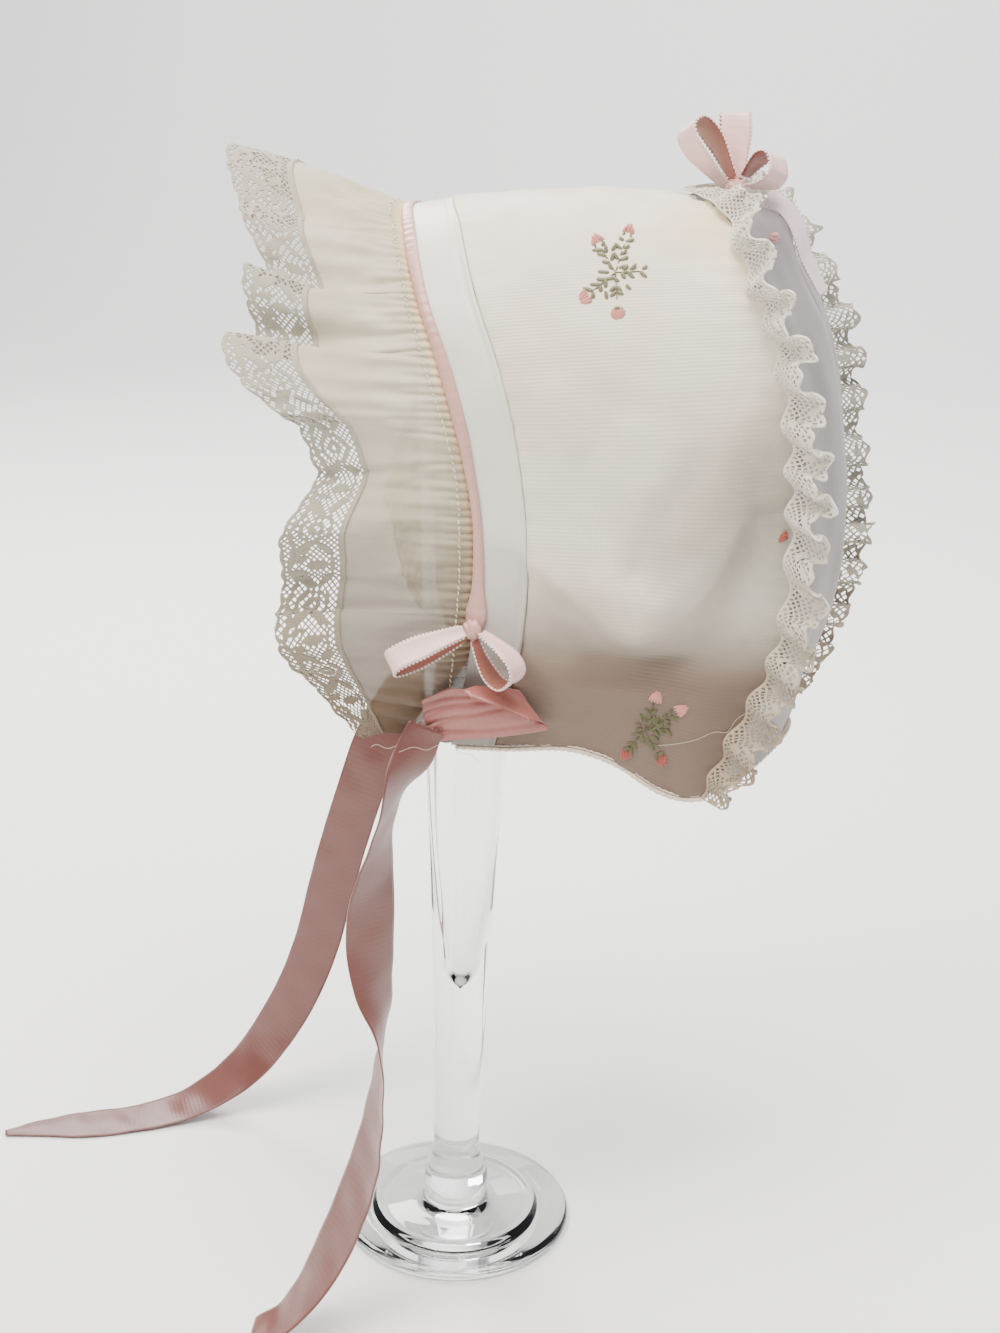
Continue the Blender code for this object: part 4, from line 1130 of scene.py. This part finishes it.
def off_panel(w, a, lift):
    """A point that stands off the back panel by lift, in mm."""
    down = panel(w, np.clip(a + 0.01, 0, 1)) - panel(w, a - 0.01)
    across = panel(w + 0.05, a) - panel(w - 0.05, a)
    return panel(w, a) + lift * unit(np.cross(down, across))


# The tail is the same ribbon as the loops, given a paler, silvery copy of its satin as a painted sheen.
sheen_painted_satin = satin("pink satin with painted sheen", (0.86, 0.72, 0.75), (1.0, 0.95, 0.97))
tail_a = np.linspace(*TAIL_SPAN, 60)
tail_edges = [off_panel(w, tail_a, lift) for w, lift in zip(TAIL_W, TAIL_LIFT)]
tail_line, tail_half = (tail_edges[0] + tail_edges[1]) / 2, (tail_edges[1] - tail_edges[0]) / 2
tail_half *= np.linspace(1, 0.35, len(tail_a))[:, None] ** 0.8
tail = strip("top_bow_tail_ribbon", tail_line, tail_half, cup=0.3, waves=0.4, seed=9)
finish_piece(tail, "pink_satin", "top_bow_tail", material=sheen_painted_satin)
picots("top_bow_tail_picots", tail_line, tail_half)

# The ties: two lengths of dusty rose satin, each folded over at its head and stitched to the
# front corner of the crown. They hang limp, and the far one runs out along the table.
NEAR_TIE = (  # x, y, z, turn, width
    (-1.6, -50.2, 191.0, 12, 10), (-4.6, -51.6, 182.5, 30, 12), (-8.8, -52.4, 172.0, 76, 16),
    (-12.4, -52.2, 160.0, 82, 16), (-14.4, -52.2, 148.5, 68, 16), (-15.8, -52.4, 138.0, 51, 16),
    (-16.0, -53.0, 126.0, 46, 16), (-14.6, -54.4, 112.5, 62, 16), (-11.6, -56.0, 101.0, 88, 16),
    (-11.3, -58.0, 90.0, 108, 16), (-12.2, -60.8, 74.0, 120, 16), (-14.6, -63.6, 57.5, 130, 16),
    (-19.0, -66.4, 42.0, 134, 16), (-24.0, -69.0, 28.5, 130, 16), (-30.8, -71.6, 15.5, 116, 16),
    (-38.6, -73.6, 5.4, 100, 16), (-46.4, -75.0, 1.5, 90, 15),
)
FAR_TIE = (
    (-2.6, 49.2, 191.0, 0, 10), (-9.6, 51.0, 186.0, 0, 12), (-20.0, 52.0, 176.5, 0, 15),
    (-31.0, 50.0, 163.0, 0, 16), (-39.6, 46.6, 146.0, 0, 16), (-45.4, 45.0, 127.0, 0, 16),
    (-50.8, 45.0, 108.5, 0, 16), (-55.6, 45.0, 89.5, 0, 16), (-60.2, 45.0, 70.0, -2, 16),
    (-66.4, 44.0, 52.0, -8, 16), (-74.6, 43.0, 35.5, -18, 16), (-84.4, 42.0, 20.6, -34, 16),
    (-96.0, 39.0, 9.4, -56, 16), (-108.4, 33.0, 3.2, -76, 16), (-121.0, 26.0, 1.3, -88, 16),
    (-137.0, 18.6, 1.1, -90, 16), (-152.0, 12.6, 1.1, -90, 10), (-163.5, 6.6, 1.1, -90, 3),
)
TIE_FOLD = (  # upper x, y, z, lower x, y, z
    (-3.4, -47.6, 198.0, -1.4, -47.4, 185.6), (3.6, -48.0, 202.0, 5.0, -47.6, 187.0),
    (9.4, -48.4, 203.6, 15.6, -47.6, 188.6), (12.6, -48.2, 204.0, 30.4, -46.4, 191.8),
    (17.6, -46.6, 203.4, 31.0, -45.2, 192.2), (23.4, -46.0, 202.6, 31.4, -44.8, 192.4),
)
rose_satin = satin("dusty rose satin", (0.155, 0.05, 0.04), (1.0, 0.8, 0.78), warp=0.24)


def tie_strip(node, rows):
    """A tie through its table's places, the turn of its face in degrees and its width in mm."""
    rows = np.array(rows, float)
    places = curve_rows(np.column_stack([np.linspace(0, 1, len(rows)), rows]), np.linspace(0, 1, 240))
    line, turn, width = places[:, :3], np.radians(places[:, 3]), places[:, 4]
    along = unit(np.gradient(line, axis=0))
    depth = np.array([0.0, 1.0, 0.0])
    depth = unit(depth - along * (along @ depth)[:, None])
    half = np.cross(along, depth) * np.cos(turn)[:, None] + depth * np.sin(turn)[:, None]
    half *= (width / 2)[:, None]
    tie = strip(f"{node}_ribbon", line, half, cup=0.35, waves=0.45, seed=17, cells=16, pinked=1.0)
    finish_piece(tie, "rose_satin", node, material=rose_satin)


FOLD_RIDGE = (0.34, 1.0)  # along the fold, where its raised edge leaves the top and where it ends
FOLD_RAISED = 5.0
FOLD_PLEATS = ((0.86, -0.10), (0.68, 0.05), (0.40, 0.25), (0.20, -0.05))  # height at the head, and slope
PLEAT_DEPTH, PLEAT_WIDTH, FOLD_WALL = 0.8, 0.045, 0.4
fold_rows = np.array(TIE_FOLD)
fold = curve_rows(np.column_stack([np.linspace(0, 1, len(fold_rows)), fold_rows]), np.linspace(0, 1, 90))
# The head's fold is the tie's own ribbon, given a lighter copy of its satin as painted light.
lit_rose_satin = satin("bright rose satin", (0.37, 0.125, 0.105), (1.0, 0.85, 0.85))


def fold_place(share, across, sign):
    """The tie's head, share from its front end and across from its lower edge, sign 1 on the near side."""
    flip = np.array([1, sign, 1])
    i = row_at(share, fold)
    upper, lower = fold[i, :3] * flip, fold[i, 3:] * flip
    points = lower + (upper - lower) * across[:, None]
    start, end = FOLD_RIDGE
    away = across - (1.02 - 0.8 * np.clip((share - start) / (end - start), 0, 1))
    raised = np.where(away > 0, np.exp(-away / 0.17), np.exp(-((away / 0.07) ** 2)))
    raised = raised * np.clip((share - 0.2) * 4, 0, 1) * np.clip((1 - share) * 9, 0.25, 1)
    puff = 0.5 * np.sin(math.pi * across) + 0.7 * rumple(30 * share, 14 * across, 11, 6)
    for level, slope in FOLD_PLEATS:
        away = (across - level - slope * share) / PLEAT_WIDTH
        puff -= PLEAT_DEPTH * np.exp(-(away**2)) * np.clip(1.15 - 1.5 * share, 0, 1)
    points[:, 1] -= sign * (FOLD_RAISED * raised + puff)
    return points


for side, sign in (("near", 1.0), ("far", -1.0)):
    head = cut_cloth(
        f"{side}_tie_head_fold",
        (len(fold) - 1, 30),
        (34.0, 16.0),
        lambda along, across: fold_place(along, across, sign),
        FOLD_WALL,
    )
    finish_piece(head, "rose_satin", f"{side}_tie_head", material=lit_rose_satin)
tie_strip("near_tie", NEAR_TIE)
tie_strip("far_tie", FAR_TIE)

# The sprays: rosebuds in stranded silk, four to a spray, worked in straight stitches on the silk.
# Each has a short stem with pairs of leaves. The lower spray is worked darker, with dark olive leaves and its
# two lowest buds in red.
THREAD_HIGH = 0.45
BUD_ROSE, BUD_RED = (0.66, 0.25, 0.22), (0.33, 0.06, 0.04)
SPRAYS = (  # x, z of the spray's middle, then for each bud: x, z from there, and its tone
    (43.0, 314.5, ((-5.2, 6.4, 0), (1.6, 8.6, 0), (-6.6, -5.8, 0), (1.8, -9.2, 0))),
    (57.5, 193.0, ((2.6, 9.4, 0), (9.0, 6.2, 0), (-4.4, -7.4, 1), (4.6, -8.4, 1))),
)
SIDE_SPRIG = (7.4, 0.6)  # the end of one leafy stem without a bud, from the middle
PETALS = ((-1.2, 2.9), (1.2, 2.7), (-0.6, 4.0), (0.6, 3.8), (0.0, 3.3))  # aside of the bud's middle, length
LEAF_GREY, LEAF_OLIVE = (0.21, 0.20, 0.11), (0.10, 0.095, 0.035)

BUD_FLOSS, LEAF_FLOSS = (0.5, 0.3, 0.2, 0.4, 0.4), (0.55, 0.3, 0.2, 0.4, 0.3)
bud_silks = [woven("rosebud silk", BUD_ROSE, BUD_FLOSS), woven("red bud silk", BUD_RED, BUD_FLOSS)]
leaf_silks = [
    woven("grey green leaf silk", LEAF_GREY, LEAF_FLOSS),
    woven("dark olive leaf silk", LEAF_OLIVE, LEAF_FLOSS),
]
cloth_tree = BVHTree.FromPolygons(
    [v.co.copy() for v in side_panel.data.vertices], [tuple(f.vertices) for f in side_panel.data.polygons]
)


def on_silk(x, z):
    """The place on the near silk at x, z (mm), and the way the silk faces there."""
    hit, normal, _, _ = cloth_tree.ray_cast(Vector((x * MM, -0.2, z * MM)), Vector((0, 1, 0)))
    return np.array(hit) / MM, np.array(normal) * (1 if normal.y < 0 else -1)


def worked(stitches):
    """Frames for stitches given as x, z, angle, length and width in mm and degrees."""
    made = []
    for x, z, angle, length, width in stitches:
        (place, out), (c, n) = on_silk(x, z), turned(angle)
        way, high = np.array([c, 0, n]), THREAD_HIGH + width / 3
        made.append(frames(place[None] + out * 0.1, way[None], out[None], length, width, high)[0])
    return made


leaf_dice = np.random.default_rng(12)
for number, (x, z, buds) in enumerate(SPRAYS, 1):
    green, petals = [], ([], [])
    for turn in np.arange(10) * 36.0:  # loose leaves all round the middle
        far, lean = leaf_dice.uniform(1.2, 5.2), turn + leaf_dice.uniform(-40, 40)
        c, n = turned(turn)
        green.append((x + far * c, z + 1.2 * far * n, lean, leaf_dice.uniform(1.8, 3.2), 1.0))
    for dx, dz, tone in [*buds, (*SIDE_SPRIG, None)]:
        angle, far = math.degrees(math.atan2(dz, dx)), math.hypot(dx, dz)
        cut = far - (2.0 if tone is not None else 0)
        for step in np.arange(0.8, cut, 1.7):  # the stem
            lean = angle + 8 * math.sin(5 * step)
            green.append((x + dx * step / far, z + dz * step / far, lean, 2.0, 0.34))
        for share in (0.26, 0.52, 0.80):  # its pairs of leaves
            share += leaf_dice.uniform(-0.08, 0.08)
            for way in (-1, 1):
                lean = angle + way * leaf_dice.uniform(30, 62)
                c, n = turned(lean)
                root = (x + dx * share + 1.2 * c, z + dz * share + 1.2 * n)
                green.append((*root, lean, leaf_dice.uniform(2.3, 3.8) - 0.8 * share, 1.1))
        if tone is None:
            continue
        c, n = turned(angle + 90)
        for aside, length in PETALS:
            out = 0.25 * length
            place = (x + dx + aside * c + out * dx / far, z + dz + aside * n + out * dz / far)
            petals[tone].append((*place, angle - 14 * aside, length, 0.95))
        for way in (-1, 1):  # the green below the bud
            green.append((x + dx + way * c, z + dz + way * n, angle - 20 * way, 1.7, 0.5))
    leaves = joined_copies(f"spray_{number}_leaves", stitch, worked(green), leaf_silks[number - 1])
    finish_piece(leaves, "silk")
    for name, laid, bud_silk in zip(("pink", "red"), petals, bud_silks):
        if laid:
            buds = joined_copies(f"spray_{number}_{name}_buds", stitch, worked(laid), bud_silk)
            finish_piece(buds, "pink_satin")

# Two single buds, half hidden by the lace: one on the silk by the back seam, one on the back panel.
# Each is three straight stitches of the same stranded silk, worked side by side.
SEAM_BUD = (90.5, 250.0)  # x, z
PANEL_BUD = (-0.52, 0.195)  # across and down the back panel
BUD_ROWS = (-1, 0, 1)

laid = worked([(SEAM_BUD[0], SEAM_BUD[1] + 0.7 * n, 35 + 9 * n, 3.2 - 0.7 * n * n, 1.0) for n in BUD_ROWS])
finish_piece(joined_copies("seam_bud", stitch, laid, bud_silks[1]), "pink_satin")
bud_w, bud_a = np.array([PANEL_BUD[0]]), np.array([PANEL_BUD[1]])
bud_place = panel(bud_w, bud_a)
bud_off = off_panel(bud_w, bud_a, 1.0) - bud_place
bud_across = unit(panel(bud_w + 0.05, bud_a) - bud_place)
laid = []
for n in BUD_ROWS:
    place = bud_place + bud_off * 0.5 + [0, 0, 0.75 * n]
    laid.append(frames(place, bud_across, bud_off, 5.4 - n * n, 1.3, THREAD_HIGH + 0.3)[0])
finish_piece(joined_copies("panel_bud", stitch, laid, bud_silks[0]), "pink_satin")

# Loose threads: the long end left from the neck hem, which lies over the silk, and the short
# curled ends below the tie's fold.
THREAD_R, THREAD_OFF = 0.06, 0.3  # its radius, and how far its middle lies off the silk
NECK_THREAD = (  # x, z on the near silk
    (60.5, 188.3), (66.0, 189.2), (71.4, 190.9), (77.0, 193.6), (79.4, 193.4), (82.0, 197.4), (85.5, 200.5),
)
LOOSE_ENDS = (
    ((-8.0, -52.6, 186.5), (-11.0, -55.5, 186.0), (-14.0, -56.5, 187.2), (-15.5, -56.0, 186.2)),
    ((6.0, -49.0, 186.6), (8.0, -51.0, 185.0), (11.0, -51.6, 185.0), (14.0, -51.4, 182.8)),
    ((2.0, -49.4, 186.0), (-1.0, -52.0, 185.2), (-4.0, -53.8, 186.4), (-8.0, -54.4, 184.8)),
)


def thread(name, points):
    """A thread along points in mm, as a fine round mesh."""
    line = bpy.data.curves.new(name, "CURVE")
    line.dimensions = "3D"
    line.bevel_depth = THREAD_R * MM
    line.bevel_resolution = 1
    line.use_fill_caps = True
    places = through(points, 50)
    spline = line.splines.new("POLY")
    spline.points.add(len(places) - 1)
    for point, place in zip(spline.points, places):
        point.co = (*(MM * place), 1.0)
    select_only(new_object(name, line))
    bpy.ops.object.convert(target="MESH")
    piece = bpy.context.object
    piece.data.materials.clear()
    bpy.ops.object.shade_smooth()
    finish_piece(piece, "silk", material=pale_thread)


pale_thread = woven("white sewing thread", (0.66, 0.59, 0.48), (0.5, 0.3, 0.3, 0.2, 0.3))
neck_end = [place + THREAD_OFF * out for place, out in (on_silk(x, z) for x, z in NECK_THREAD)]
thread("neck_hem_thread", neck_end)
for number, points in enumerate(LOOSE_ENDS, 1):
    thread(f"loose_end_{number}", points)
for spare in (stitch, bead):
    bpy.data.objects.remove(spare, do_unlink=True)
